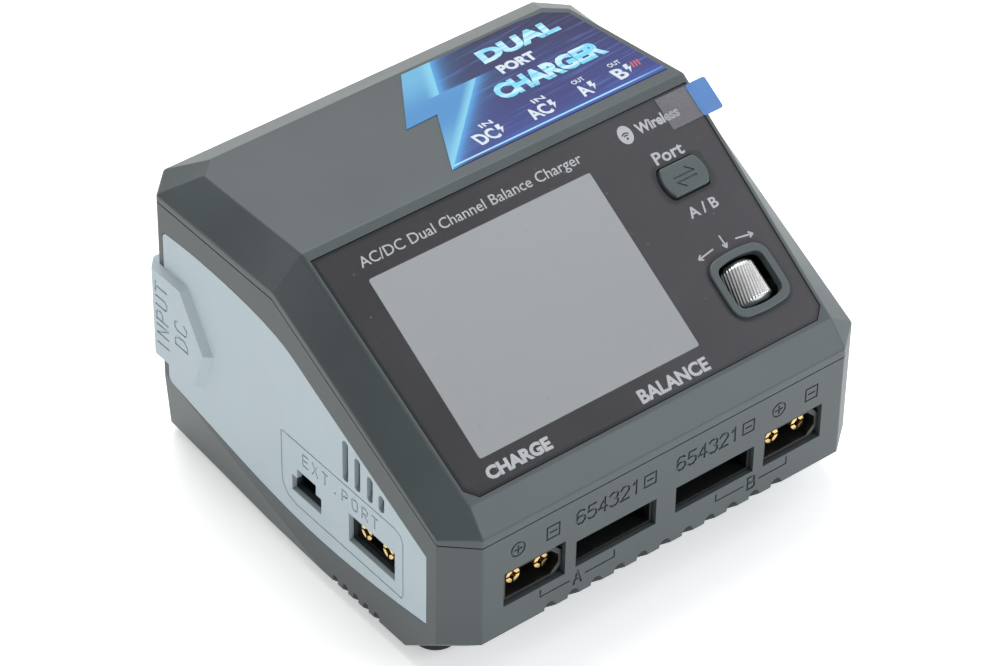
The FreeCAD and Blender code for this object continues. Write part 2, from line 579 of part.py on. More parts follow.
def right_side_panel(outer):
    s = panel_slab(1, 0, 0, PANEL_T).fuse(block_form(1).cut(outer))
    cuts = vents_right(-3, 5)
    marks = lettering("INPUT", D - 8.5, 37.6, 3.9, 0.98, 0.5, -90.0) + lettering("AC", D - 15.3, 37.0, 4.2, 0.98, 0.5, -90.0)
    for m in marks:
        m.translate(V(0, 0, BLOCK_T))
        cuts.append(on_right(m))
    return s.cut(cuts)


def rubber_feet():
    out = []
    for x, y in FEET:
        s = Part.makeCylinder(FOOT_R, FOOT_H + 0.6, V(x, y, 0))
        s = s.makeFillet(0.9, [e for e in s.Edges if e.BoundBox.ZMax < 0.01])
        out.append(s)
    return Part.makeCompound(out)


def screw(x, y, z_head, head_r, head_h, r, length):
    """A pan screw standing on z_head, its shank pointing up."""
    s = Part.makeCylinder(head_r, head_h, V(x, y, z_head))
    s = s.fuse(Part.makeCylinder(r, length, V(x, y, z_head + head_h)))
    return s.cut(box(x - head_r * 0.7, x + head_r * 0.7, y - 0.35, y + 0.35, z_head - 1, z_head + head_h * 0.45))


def case_screws():
    return Part.makeCompound([screw(x, y, FOOT_H + 0.8, 2.3, 1.8, 1.4, 32.0) for x, y in CASE_POSTS])


# ======================= display and controls =============================
def button_outline(grow, z0, z1):
    return bowed(BUTTON_X, BUTTON_S, BUTTON_HX, BUTTON_HY, BUTTON_BOW, 0, 0.8, grow, z0, z1)


def ring_outline(grow, z0, z1):
    return bowed(WHEEL_X, WHEEL_S, RING_HX, RING_HY, 0.15, RING_BOW, 3.4, grow, z0, z1)


TOP_F = -PLATE_SINK                 # upper face of the display plate
BOT_F = -PLATE_SINK - PLATE_T


def face_plate():
    s = plate_outline(0, BOT_F, TOP_F)
    x0, x1, y0, y1 = LCD
    cuts = [round_rect(x0, x1, y0, y1, 0.6, -5, 3), button_outline(BUTTON_GAP, -5, 3), ring_outline(0.05, -5, 3)]
    return on_slope(s.cut(cuts))


def screen_window():
    x0, x1, y0, y1 = LCD
    return on_slope(round_rect(x0 + 0.05, x1 - 0.05, y0 + 0.05, y1 - 0.05, 0.6, TOP_F - 1.0, TOP_F))


def lcd_module():
    x0, x1, y0, y1 = LCD
    s = box(x0 - 2.5, x1 + 2.5, y0 - 1.8, y1 + 1.8, BOT_F - 3.2, BOT_F)
    return on_slope(s.fuse(box(x0 + 0.3, x1 - 0.3, y0 + 0.3, y1 - 0.3, BOT_F - 0.1, TOP_F - 1.0)))


def lcd_frame():
    x0, x1, y0, y1 = LCD
    s = box(x0 - 2.5, x1 + 2.5, y0 - 1.8, y1 + 1.8, -BOARD_DEPTH, BOT_F - 3.2)
    return on_slope(s.cut(box(x0 - 0.5, x1 + 0.5, y0 + 0.2, y1 - 0.2, -30, 3)))


def display_board():
    x0, x1 = PLATE_X0 + 0.7, PLATE_X0 - 5.9
    s = round_rect(-x0, x0, 2.5, PLATE_L - 0.9, 2.0, -BOARD_DEPTH - BOARD_T, -BOARD_DEPTH)
    s = s.cut([box(-x0 - 1, -x1, 0, 8.5, -30, 0), box(x1, x0 + 1, 0, 8.5, -30, 0)])
    return on_slope(s.cut([Part.makeCylinder(1.15, 9, V(x, y, -BOARD_DEPTH - 5)) for x, y in DISPLAY_POSTS]))


def display_screws():
    z = -BOARD_DEPTH - BOARD_T - 1.3
    return on_slope(Part.makeCompound([screw(x, y, z, 1.9, 1.3, 1.0, 5.5) for x, y in DISPLAY_POSTS]))


def wheel_bezel():
    s = ring_outline(0, BOT_F, TOP_F + 0.7)
    s = s.makeFillet(0.35, [e for e in s.Edges if abs(e.BoundBox.ZMin - TOP_F - 0.7) < 1e-4])
    s = s.cut(bowed(WHEEL_X, WHEEL_S, RING_HX - RING_W, RING_HY - RING_W, 0.15, RING_BOW, 1.9, 0, -5, 3))
    return on_slope(s)


def port_button():
    s = button_outline(0, BOT_F - 1.2, TOP_F + BUTTON_UP)
    s = s.makeFillet(0.4, [e for e in s.Edges if abs(e.BoundBox.ZMin - TOP_F - BUTTON_UP) < 1e-4])
    s = s.fuse(button_outline(1.3, BOT_F - 1.2, BOT_F - 0.4))
    s = s.fuse(Part.makeCylinder(1.6, SWITCH_TOP - 1.0 + BOT_F, V(BUTTON_X, BUTTON_S, -SWITCH_TOP + 1.0)))
    marks = [(-2.6, 0.35, 2.6, 0.35), (2.6, 0.35, 1.0, 1.7), (2.6, -0.75, -2.6, -0.75), (-2.6, -0.75, -1.0, -2.1)]
    cuts = []
    for x0, y0, x1, y1 in marks:
        for c in strokes([(BUTTON_X + x0, BUTTON_S + y0), (BUTTON_X + x1, BUTTON_S + y1)], 0.32, 0.25):
            c.translate(V(0, 0, TOP_F + BUTTON_UP))
            cuts.append(c)
    return on_slope(s.cut(cuts))


def tact_switch(cx, cy):
    s = box(cx - 3, cx + 3, cy - 3, cy + 3, -BOARD_DEPTH, -SWITCH_TOP - 0.5)
    return on_slope(s.fuse(Part.makeCylinder(1.6, 0.7, V(cx, cy, -SWITCH_TOP - 0.7))))


def fluted_wheel():
    """The roller, its axis along local y, with shallow lengthwise flutes."""
    pts = []
    n = FLUTES * 4
    for i in range(n):
        r = WHEEL_R - (0.28 if i % 4 == 0 else 0.0)
        a = 2 * math.pi * i / n
        pts.append((r * math.cos(a), r * math.sin(a)))
    s = prism(pts, -WHEEL_HL, WHEEL_HL)
    cone = Part.makeCone(WHEEL_R - 1.3, WHEEL_R + 0.2, 1.5, V(0, 0, -WHEEL_HL))
    cone2 = Part.makeCone(WHEEL_R + 0.2, WHEEL_R - 1.3, 1.5, V(0, 0, WHEEL_HL - 1.5))
    mid = Part.makeCylinder(WHEEL_R + 0.2, 2 * WHEEL_HL - 3, V(0, 0, -WHEEL_HL + 1.5))
    s = s.common(mid.fuse([cone, cone2]))
    s = s.cut(Part.makeCylinder(AXLE_R + AXLE_GAP, 40, V(0, 0, -20)))
    return place(s, (1, 0, 0), (0, 0, 1), (0, -1, 0), (0, 0, 0))


def scroll_wheel():
    s = fluted_wheel()
    s.translate(V(WHEEL_X, WHEEL_S, TOP_F - WHEEL_DEPTH))
    return on_slope(s)


def wheel_axle():
    z = TOP_F - WHEEL_DEPTH
    return on_slope(rod(AXLE_R, (WHEEL_X, WHEEL_S - WHEEL_HL - 2, z), (WHEEL_X, WHEEL_S + WHEEL_HL + 2, z)))


def wheel_carrier():
    x, y, z = WHEEL_X, WHEEL_S, TOP_F - WHEEL_DEPTH
    w = WHEEL_R + 1.6
    s = box(x - w, x + w, y - WHEEL_HL - 2, y + WHEEL_HL + 2, -SWITCH_TOP + 1.0, -SWITCH_TOP + 2.0)
    for k in (-1, 1):
        ya, yb = sorted((y + k * (WHEEL_HL + 0.6), y + k * (WHEEL_HL + 2.0)))
        s = s.fuse(box(x - 2.2, x + 2.2, ya, yb, -SWITCH_TOP + 1.0, z + 1.8))
        s = s.cut(rod(1.1, (x + k * GUIDE_X, y, -30), (x + k * GUIDE_X, y, 0)))
    return on_slope(s.cut(rod(AXLE_R, (x, y - 9, z), (x, y + 9, z))))


def wheel_guide():
    x, y = WHEEL_X, WHEEL_S
    w = WHEEL_R + 1.6
    s = box(x - w, x + w, y - 6, y + 6, -BOARD_DEPTH, -BOARD_DEPTH + 0.8)
    s = s.cut(box(x - 3.4, x + 3.4, y - 3.4, y + 3.4, -30, 0))
    for k in (-1, 1):
        s = s.fuse(rod(1.0, (x + k * GUIDE_X, y, -BOARD_DEPTH), (x + k * GUIDE_X, y, -SWITCH_TOP + 3.5)))
    return on_slope(s)


def protective_film():
    s = plate_outline(-0.4, TOP_F, TOP_F + 0.15)
    return on_slope(s.cut([button_outline(1.0, -5, 3), ring_outline(0.8, -5, 3)]))


def film_tape():
    return on_slope(box(PLATE_X1 - 8.7, PLATE_X1 - 0.5, PLATE_L - 8.0, PLATE_L - 0.5, TOP_F + 0.15, TOP_F + 0.3))


def pull_tab():
    return on_slope(round_rect(PLATE_X1 - 0.5, PLATE_X1 + 4.9, PLATE_L - 8.2, PLATE_L - 0.4, 0.6, TOP_F + 0.15, TOP_F + 0.3))


def top_label():
    pts = [(4.8, 38.6), (-7.0, 21.3), (1.2, 21.6), (-9.2, 3.2), (48.0, 3.2), (46.7, 34.2), (42.6, 38.0), (36.0, 38.6)]
    return on_top(prism(pts, 0, 0.2))


# ======================= sockets ==========================================
def power_shape(grow, z0, z1):
    x, y = POWER_W / 2 + grow, POWER_H / 2 + grow
    c = 2.5 + grow * 0.4
    return prism([(-x, -y), (x - c, -y), (x, -y + c), (x, y - c), (x - c, y), (-x, y)], z0, z1)


def power_socket(depth=14.0):
    """Two-way power socket, open toward +z, mouth at z = 0."""
    s = power_shape(0, -depth, 0).cut(power_shape(-0.95, -depth + 4.0, 1))
    return s.cut([Part.makeCylinder(1.75, 40, V(k * PIN_PITCH / 2, 0, -30)) for k in (-1, 1)])


def power_pins(depth=14.0, tip=-1.6):
    """Round contacts with a bore and four slits; tip is their end above the mouth."""
    out = []
    for k in (-1, 1):
        x = k * PIN_PITCH / 2
        p = Part.makeCylinder(1.75, depth + tip, V(x, 0, -depth)).cut(Part.makeCylinder(0.85, 4, V(x, 0, tip - 3)))
        p = p.cut([box(x - 3, x + 3, -0.25, 0.25, tip - 3, 3), box(x - 0.25, x + 0.25, -3, 3, tip - 3, 3)])
        out.append(p)
    return Part.makeCompound(out)


def pin_header(n, pitch, w, h, depth, wall=0.8):
    s = box(-w / 2, w / 2, -h / 2, h / 2, -depth, 0)
    s = s.cut(box(-w / 2 + wall, w / 2 - wall, -h / 2 + wall, h / 2 - wall, -depth + 3.0, 1))
    return s.cut([box(x - 0.32, x + 0.32, -0.32, 0.32, -depth - 1, 1) for x in pin_xs(n, pitch)])


def pin_row(n, pitch, depth):
    return Part.makeCompound([box(x - 0.32, x + 0.32, -0.32, 0.32, -depth, -2.6) for x in pin_xs(n, pitch)])


def pin_xs(n, pitch):
    return [(i - (n - 1) / 2) * pitch for i in range(n)]


def front_at(s, x, z, sink):
    s = on_front(s)
    s.translate(V(x, sink, z))
    return s


def left_at(s, y, z, sink):
    s = on_left(s)
    s.translate(V(sink, y, z))
    return s


def rear_at(s, x, z, sink, turn=0):
    s = s.copy()
    s.rotate(V(0, 0, 0), V(0, 0, 1), turn)
    s = on_rear(s)
    s.translate(V(x, -sink, z))
    return s


def signal_socket():
    s = box(-5.4, 5.4, -3.4, 3.4, -12, 0).cut([box(-4.6, 4.6, -2.7, 1.0, -9, 1), box(-2.9, 2.9, 0.9, 2.9, -9, 1)])
    return s.cut([box(x - 0.3, x + 0.3, -1.2, -0.6, -20, 1) for x in pin_xs(5, 1.6)])


def signal_pins():
    return Part.makeCompound([box(x - 0.3, x + 0.3, -1.2, -0.6, -12, -2.5) for x in pin_xs(5, 1.6)])


def dc_socket():
    s = power_socket(15.0)
    flange = box(-9.6, 9.6, -5.6, 5.6, -4.0, -WALL + 0.6).cut(power_shape(0, -30, 3))
    return s.fuse(flange)


def ac_inlet():
    s = round_rect(-7, 7, -10.5, 10.5, 1.4, -19, 0).fuse(round_rect(-8.6, 8.6, -12, 12, 1.4, -4.2, -WALL))
    s = s.cut(slot_z(0, -8.0, 8.0, 9.4, -14, 1))
    return s.cut([Part.makeCylinder(1.2, 40, V(0, k * 4.3, -30)) for k in (-1, 1)])


def ac_inlet_pins():
    out = []
    for k in (-1, 1):
        out.append(Part.makeCylinder(1.2, 14.0, V(0, k * 4.3, -19)).fuse(Part.makeSphere(1.2, V(0, k * 4.3, -5))))
    return Part.makeCompound(out)


# ======================= inside ===========================================
def main_board():
    s = box(-BOARD_X, BOARD_X, BOARD_Y0, BOARD_Y1, DECK_Z - BOARD_T, DECK_Z)
    return s.cut([Part.makeCylinder(1.4, 9, V(x, y, DECK_Z - 4)) for x, y in BOARD_POSTS])


def board_screws():
    out = []
    for x, y in BOARD_POSTS:
        s = screw(0, 0, 0, 2.4, 1.6, 1.2, 7.5)
        s.rotate(V(0, 0, 0), V(1, 0, 0), 180)
        s.translate(V(x, y, DECK_Z + 1.6))
        out.append(s)
    return Part.makeCompound(out)


def heatsink():
    z = DECK_Z - BOARD_T
    s = box(-28, 28, 30, 72, z - 2, z)
    return s.fuse([box(-28 + 5.8 * i, -26.8 + 5.8 * i, 30, 72, 7.5, z - 2) for i in range(10)]).removeSplitter()


def transformer_core():
    s = box(2, 30, 54, 82, DECK_Z + 1, DECK_Z + 23)
    s = s.cut([box(5, 12, 53, 83, DECK_Z + 4.5, DECK_Z + 19.5), box(20, 27, 53, 83, DECK_Z + 4.5, DECK_Z + 19.5)])
    return s.fuse(box(4, 28, 60, 76, DECK_Z, DECK_Z + 1))


def transformer_coil():
    z = DECK_Z + 4.5
    s = round_rect(5.0, 27.0, 51, 85, 4.0, z, z + 15)
    return s.cut(box(12.0, 20.0, 54, 82, z - 1, z + 16))


def inductors():
    out = []
    for x, y in ((-28, 48), (-28, 64), (-12, 64)):
        s = round_rect(x - 6.5, x + 6.5, y - 6.5, y + 6.5, 1.2, DECK_Z, DECK_Z + 8)
        out.append(s)
    return Part.makeCompound(out)


def capacitors():
    out = []
    for x, y, r, h in ((-12, 46, 5, 16), (0, 46, 5, 16), (36, 60.5, 5, 20), (36, 72.2, 5, 20), (14, 44, 4, 12)):
        s = Part.makeCylinder(r, h, V(x, y, DECK_Z))
        out.append(s.makeFillet(0.6, [e for e in s.Edges if e.BoundBox.ZMin > DECK_Z + h - 0.1]))
    return Part.makeCompound(out)


def mosfets():
    out = []
    for i in range(6):
        x = -25 + 8 * i + (4 if i > 2 else 0)
        out.append(box(x, x + 5.2, 24, 30.2, DECK_Z, DECK_Z + 1.0))
    return Part.makeCompound(out)


def controller_chip():
    return box(-6, 6, 32.5, 40.5, DECK_Z, DECK_Z + 1.2)


def radio_module():
    s = box(-3, 10, -20, -2, 0, 1.0).fuse(box(-2, 9, -16, -4, 1.0, 2.4))
    s.rotate(V(0, 0, 0), V(1, 0, 0), 180)
    s.translate(V(10, 8, -BOARD_DEPTH - BOARD_T))
    return on_slope(s)


def buzzer():
    s = Part.makeCylinder(5.5, 5.5, V(33, 30, DECK_Z))
    return s.cut(Part.makeCylinder(1.2, 3, V(33, 30, DECK_Z + 3.5)))


def fuse():
    s = rod(2.6, (33, 40, DECK_Z + 3.2), (33, 53, DECK_Z + 3.2))
    return s.fuse([box(30.2, 35.8, y, y + 2.2, DECK_Z, DECK_Z + 4) for y in (40, 50.8)])


def ribbon_cable():
    """Flat cable from the main board up to the back of the display board."""
    a = math.radians(SLOPE)
    d = BOARD_DEPTH + BOARD_T
    z0 = STRIP_Z + (PLATE_Y0 - STRIP_Y) * math.tan(a)
    y1 = PLATE_Y0 + 26 * math.cos(a) + d * math.sin(a)
    z1 = z0 + 26 * math.sin(a) - d * math.cos(a)
    t = 0.5
    ca, sa = math.cos(a), math.sin(a)
    path = [(y1, z1), (y1 + 6 * ca, z1 + 6 * sa), (y1 + 6 * ca + t * sa, z1 + 6 * sa - t * ca),
            (y1 + 1.2 * ca + t * sa, z1 + 1.2 * sa - t * ca), (34.0, 26.0), (31.2 + t, DECK_Z + t), (31.2 + 5, DECK_Z + t),
            (31.2 + 5, DECK_Z), (31.2, DECK_Z), (33.2, 26.0)]
    return prism_x(path, -22, -8)


# ======================= fan ==============================================
def fan_frame():
    """Axial fan body; local z = 0 is the face against the rear wall."""
    h = FAN / 2
    s = round_rect(-h, h, -h, h, 3, -FAN_T, 0).cut(Part.makeCylinder(BORE_R, 40, V(0, 0, -30)))
    s = s.fuse(Part.makeCylinder(HUB_R, 2.4, V(0, 0, -FAN_T)))
    for a in (30, 120, 210, 300):
        arm = box(8, BORE_R + 0.6, -1.6, 1.6, -FAN_T, -FAN_T + 2.0)
        arm.rotate(V(0, 0, 0), V(0, 0, 1), a)
        s = s.fuse(arm)
    s = s.fuse(Part.makeCylinder(2.3, 8.4, V(0, 0, -FAN_T + 2.4)))
    cuts = [Part.makeCylinder(SHAFT_R + SHAFT_GAP, 8.0, V(0, 0, -FAN_T + 2.8))]
    for sx in (-1, 1):
        for sy in (-1, 1):
            cuts.append(Part.makeCylinder(1.5, 40, V(sx * FAN_HOLES, sy * FAN_HOLES, -30)))
    return s.cut(cuts)


def fan_rotor():
    z0 = -FAN_T + 3.1
    s = Part.makeCylinder(HUB_R, 10.6, V(0, 0, z0)).cut(Part.makeCylinder(7.9, 8.6, V(0, 0, z0 - 0.1)))
    s = s.fuse(Part.makeCylinder(SHAFT_R, 8.0, V(0, 0, z0 + 0.6)))
    blades = []
    ring = Part.makeCylinder(BLADE_R, 30, V(0, 0, -20)).cut(Part.makeCylinder(HUB_R - 0.7, 30, V(0, 0, -20)))
    for i in range(BLADES):
        b = box(HUB_R - 0.7, BLADE_R, -5.4, 5.4, -0.55, 0.55)
        b.rotate(V(0, 0, 0), V(1, 0, 0), 38)
        b.translate(V(0, 0, z0 + 5.4))
        b.rotate(V(0, 0, 0), V(0, 0, 1), 360.0 * i / BLADES)
        blades.append(b.common(ring))
    s = s.fuse(blades)
    return s


def fan_at(s):
    s = on_rear(s)
    s.translate(V(0, -WALL, FAN_Z))
    return s


def fan_screws():
    out = []
    for sx in (-1, 1):
        for sy in (-1, 1):
            s = screw(0, 0, 0, 2.6, 1.4, 1.5, 12.0)
            s.rotate(V(0, 0, 0), V(1, 0, 0), 180)
            s.translate(V(sx * FAN_HOLES, sy * FAN_HOLES, -0.1))
            out.append(s)
    s = on_rear(Part.makeCompound(out))
    s.translate(V(0, 0, FAN_Z))
    return s


# ======================= export ===========================================
def write(name, shape):
    s = shape.copy()
    s.translate(V(0, -D / 2, 0))
    ok = s.isValid() and all(b.isValid() for b in s.Solids)
    print("%-18s solids %2d  volume %10.1f  valid %s" % (name, len(s.Solids), s.Volume, ok))
    s.exportStep("parts/%s.step" % name)


def main():
    os.makedirs("parts", exist_ok=True)
    outer, inner, below = outer_form(), inner_form(), seam_block()
    write("bottom_case", bottom_case(outer, inner, below))
    write("top_cover", top_cover(outer, inner, below))
    write("left_side_panel", left_side_panel(outer))
    write("right_side_panel", right_side_panel(outer))
    plain = [rubber_feet, case_screws, face_plate, screen_window, lcd_module, lcd_frame, display_board, display_screws,
             wheel_bezel, port_button, scroll_wheel, wheel_axle, wheel_carrier, wheel_guide, protective_film,
             film_tape, pull_tab, top_label, main_board, board_screws, heatsink, transformer_core, transformer_coil,
             inductors, capacitors, mosfets, controller_chip, radio_module, buzzer, fuse, ribbon_cable, fan_screws]
    for make in plain:
        write(make.__name__, make())
    write("button_switch", tact_switch(BUTTON_X, BUTTON_S))
    write("press_switch", tact_switch(WHEEL_X, WHEEL_S))
    for k, c in ((-1, "a"), (1, "b")):
        write("output_socket_" + c, front_at(power_socket(), k * POWER_X, POWER_Z, 0.9))
        write("output_pins_" + c, front_at(power_pins(), k * POWER_X, POWER_Z, 0.9))
        write("balance_socket_" + c, front_at(pin_header(BAL_PINS, BAL_PITCH, BAL_W, BAL_H, 11), k * BAL_X, BAL_Z, 1.0))
        write("balance_pins_" + c, front_at(pin_row(BAL_PINS, BAL_PITCH, 11), k * BAL_X, BAL_Z, 1.0))
    write("ext_socket", left_at(power_socket(), EXT_Y, POWER_Z, WALL))
    write("ext_pins", left_at(power_pins(tip=0.9), EXT_Y, POWER_Z, WALL))
    write("signal_socket", left_at(signal_socket(), SIGNAL_Y, DECK_Z + 3.4, WALL))
    write("signal_pins", left_at(signal_pins(), SIGNAL_Y, DECK_Z + 3.4, WALL))
    write("dc_input_socket", rear_at(dc_socket(), DC_X, REAR_Z, 0.6, 90))
    write("dc_input_pins", rear_at(power_pins(15.0, tip=-2.8), DC_X, REAR_Z, 0.6, 90))
    write("ac_inlet", rear_at(ac_inlet(), AC_X, REAR_Z, 0))
    write("ac_inlet_pins", rear_at(ac_inlet_pins(), AC_X, REAR_Z, 0))
    write("fan_frame", fan_at(fan_frame()))
    write("fan_rotor", fan_at(fan_rotor()))


main()
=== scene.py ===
# %% [markdown]
# # A balance battery charger
# The charger is a wedge of grey-green moulded plastic with a sloping display
# plate, sockets along its foot and a fan at the back. The exact shapes come from
# the CAD frame, so this lesson is about what a CAD model lacks: the grain of the
# plastic, the print on the plate, the fluted roller, the film left on the screen.

# %% Load the frame
import json
import math
import bmesh
import bpy
from mathutils import Matrix, Vector


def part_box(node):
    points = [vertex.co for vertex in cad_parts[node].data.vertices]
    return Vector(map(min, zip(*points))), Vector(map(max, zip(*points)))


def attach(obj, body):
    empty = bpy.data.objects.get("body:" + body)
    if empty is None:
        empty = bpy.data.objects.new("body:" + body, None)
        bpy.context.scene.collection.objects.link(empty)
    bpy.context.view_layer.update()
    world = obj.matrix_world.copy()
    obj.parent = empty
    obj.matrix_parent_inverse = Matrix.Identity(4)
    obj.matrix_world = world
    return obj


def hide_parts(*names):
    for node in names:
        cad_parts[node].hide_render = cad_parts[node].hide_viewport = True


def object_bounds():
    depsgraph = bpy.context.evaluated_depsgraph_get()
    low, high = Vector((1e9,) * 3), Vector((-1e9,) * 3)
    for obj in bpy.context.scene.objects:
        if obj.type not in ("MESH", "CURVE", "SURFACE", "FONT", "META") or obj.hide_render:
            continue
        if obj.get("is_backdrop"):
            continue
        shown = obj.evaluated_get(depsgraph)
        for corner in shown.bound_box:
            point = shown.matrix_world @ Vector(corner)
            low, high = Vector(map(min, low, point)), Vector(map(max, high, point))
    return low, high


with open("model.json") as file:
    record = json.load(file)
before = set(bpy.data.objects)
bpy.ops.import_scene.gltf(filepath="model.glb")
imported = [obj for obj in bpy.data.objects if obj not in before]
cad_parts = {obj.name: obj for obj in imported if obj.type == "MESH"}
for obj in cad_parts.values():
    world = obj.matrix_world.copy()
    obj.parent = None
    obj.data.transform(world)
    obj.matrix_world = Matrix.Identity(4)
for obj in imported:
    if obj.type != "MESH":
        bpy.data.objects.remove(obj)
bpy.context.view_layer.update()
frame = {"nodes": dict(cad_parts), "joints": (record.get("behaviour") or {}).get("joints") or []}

MM = 0.001
nodes = frame["nodes"]
joints = {j["name"]: j for j in frame["joints"]}

# %% [markdown]
# ## Flat places to work on
# Print and film lie on slanted faces. Working out every point in room
# coordinates would be tiring, so a small class holds a corner and two directions
# and turns "so far across, so far up" into a place. The slope of the display
# plate is read from the joints: the button moves square to the plate, and the
# roller's axle lies along it.

# %% A flat place on the charger


class Place:
    """A flat place: its corner, and the ways across it, up it and out of it."""

    def __init__(self, corner, across, up):
        self.corner = Vector(corner)
        self.across, self.up = Vector(across).normalized(), Vector(up).normalized()
        self.out = self.across.cross(self.up)

    def matrix(self):
        """Turns local millimetres into metres in the frame."""
        m = Matrix.Identity(4)
        for i in range(3):
            m[i][0], m[i][1], m[i][2] = self.across[i] * MM, self.up[i] * MM, self.out[i] * MM
            m[i][3] = self.corner[i]
        return m


ROLLER_X, ROLLER_S, ROLLER_SUNK = 35.7, 13.8, 4.15      # mm across and up the slope, and below it
roller_at = Vector(joints["wheel_spin"]["pos_m"])
slope_up = Vector(joints["wheel_spin"]["axis"])
slope_out = -Vector(joints["port_button_press"]["axis"])
corner = roller_at - Vector((ROLLER_X * MM, 0, 0)) - slope_up * ROLLER_S * MM + slope_out * ROLLER_SUNK * MM
slope = Place(corner, (1, 0, 0), slope_up)
PLATE = -0.15            # mm, the plate's face, just below the slope
BUTTON_X, BUTTON_S = 35.8, 39.5                         # mm across and up the slope
PLATE_MIDDLE = 28.5      # mm up the slope
print("slope corner mm", [round(v / MM, 2) for v in slope.corner], "out", [round(v, 3) for v in slope.out])

# %% The flat top, from the label that lies on it
LABEL_NEAR, LABEL_THICK = 3.2, 0.2
low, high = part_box("top_label")
tilt = math.atan((high.z - low.z - LABEL_THICK * MM) / (high.y - low.y))
near = Vector((0, low.y, high.z - LABEL_THICK * MM))
top_up = Vector((0, math.cos(tilt), -math.sin(tilt)))
top = Place(near - top_up * LABEL_NEAR * MM, (1, 0, 0), top_up)
print("top tilts back by degrees", round(math.degrees(tilt), 2))

# %% [markdown]
# ## Readings: sums written as sums
# A node tree is a sum drawn as boxes. Long sums are easier to read as Python, so
# one class wraps a socket and turns plus, times and the rest into Math nodes.
# The same class serves materials and Geometry Nodes, because both have Math nodes.

# %% A socket that can be used in sums


class Reading:
    """The value that comes out of a node's socket."""

    def __init__(self, bench, socket):
        self.bench, self.socket = bench, socket

    def _sum(self, operation, *terms):
        return self.bench.node("ShaderNodeMath", {"operation": operation}, dict(enumerate(terms)))

    def __add__(self, other): return self._sum("ADD", self, other)
    def __radd__(self, other): return self._sum("ADD", other, self)
    def __sub__(self, other): return self._sum("SUBTRACT", self, other)
    def __rsub__(self, other): return self._sum("SUBTRACT", other, self)
    def __mul__(self, other): return self._sum("MULTIPLY", self, other)
    def __truediv__(self, other): return self._sum("DIVIDE", self, other)
    def __rtruediv__(self, other): return self._sum("DIVIDE", other, self)
    def __pow__(self, other): return self._sum("POWER", self, other)
    def __gt__(self, other): return self._sum("GREATER_THAN", self, other)
    def __lt__(self, other): return self._sum("LESS_THAN", self, other)
    def __abs__(self): return self._sum("ABSOLUTE", self)
    def sine(self): return self._sum("SINE", self)
    def cosine(self): return self._sum("COSINE", self)
    def least(self, other): return self._sum("MINIMUM", self, other)
    def most(self, other): return self._sum("MAXIMUM", self, other)

    def ramp(self, low, high):
        """0 below low, 1 above high and a soft rise between them."""
        return self.bench.node("ShaderNodeMapRange", {"interpolation_type": "SMOOTHSTEP"},
                               {"Value": self, "From Min": low, "From Max": high})


class Bench:
    """A node tree being built."""

    def __init__(self, tree):
        self.tree = tree

    def node(self, kind, settings=None, sockets=None, out=0):
        n = self.tree.nodes.new(kind)
        for key, value in (settings or {}).items():
            setattr(n, key, value)
        for key, value in (sockets or {}).items():
            if isinstance(value, Reading):
                self.tree.links.new(value.socket, n.inputs[key])
            else:
                n.inputs[key].default_value = value
        return Reading(self, n.outputs[out])

    def parts(self, vector):
        """The x, y and z of a vector."""
        first = self.node("ShaderNodeSeparateXYZ", None, {0: vector})
        return [Reading(self, s) for s in first.socket.node.outputs]

    def vector(self, x, y, z):
        return self.node("ShaderNodeCombineXYZ", None, {0: x, 1: y, 2: z})


print("sums ready")

# %% [markdown]
# ## Finishes
# Each finish is a Principled shader. What is the same all over is typed straight
# into the shader; what changes over the surface is worked out from the piece's
# own coordinates, so the grain stays put when a piece moves. Colours are written
# as they look, and turned into light values by one function.

# %% A finish


def seen(r, g, b):
    """A colour as it looks, 0 to 255, as the light value that a shader wants."""
    shares = (v / 255 for v in (r, g, b))
    return tuple(v / 12.92 if v <= 0.04 else ((v + 0.055) / 1.055) ** 2.4 for v in shares)


class Finish(Bench):
    def __init__(self, name, **constants):
        self.material = bpy.data.materials.new(name)
        self.material.use_nodes = True
        super().__init__(self.material.node_tree)
        self.tree.nodes.clear()
        self.shader = self.tree.nodes.new("ShaderNodeBsdfPrincipled")
        output = self.tree.nodes.new("ShaderNodeOutputMaterial")
        self.tree.links.new(self.shader.outputs[0], output.inputs[0])
        for key, value in constants.items():
            name_of = key.replace("_", " ").title().replace("Ior", "IOR")
            self.shader.inputs[name_of].default_value = (*value, 1) if isinstance(value, tuple) else value

    def feed(self, socket, reading):
        self.tree.links.new(reading.socket, self.shader.inputs[socket])

    def where(self):
        return self.node("ShaderNodeTexCoord", None, None, 3)

    def grain(self, size, detail=2.0, stretch=None):
        """Noise whose lumps are about size mm across."""
        at = self.where()
        if stretch:
            at = self.node("ShaderNodeVectorMath", {"operation": "MULTIPLY"}, {0: at, 1: stretch})
        return self.node("ShaderNodeTexNoise", None,
                         {"Vector": at, "Scale": 1000 / size, "Detail": detail, "Roughness": 0.5})

    def mix(self, share, first, second):
        """A blend of two colours."""
        n = self.tree.nodes.new("ShaderNodeMix")
        n.data_type = "RGBA"
        for index, value in ((0, share), (6, first), (7, second)):
            if isinstance(value, Reading):
                self.tree.links.new(value.socket, n.inputs[index])
            else:
                n.inputs[index].default_value = (*value, 1) if isinstance(value, tuple) else value
        return Reading(self, n.outputs[2])

    def bump(self, height, depth):
        """Raises the surface by depth mm where height is 1."""
        sockets = {"Strength": 1.0, "Distance": depth * MM, "Height": height}
        self.feed("Normal", self.node("ShaderNodeBump", None, sockets))


def shades(colour, spread):
    """A slightly darker and a slightly lighter form of one colour."""
    return tuple(v * (1 - spread) for v in colour), tuple(min(1, v * (1 + spread)) for v in colour)


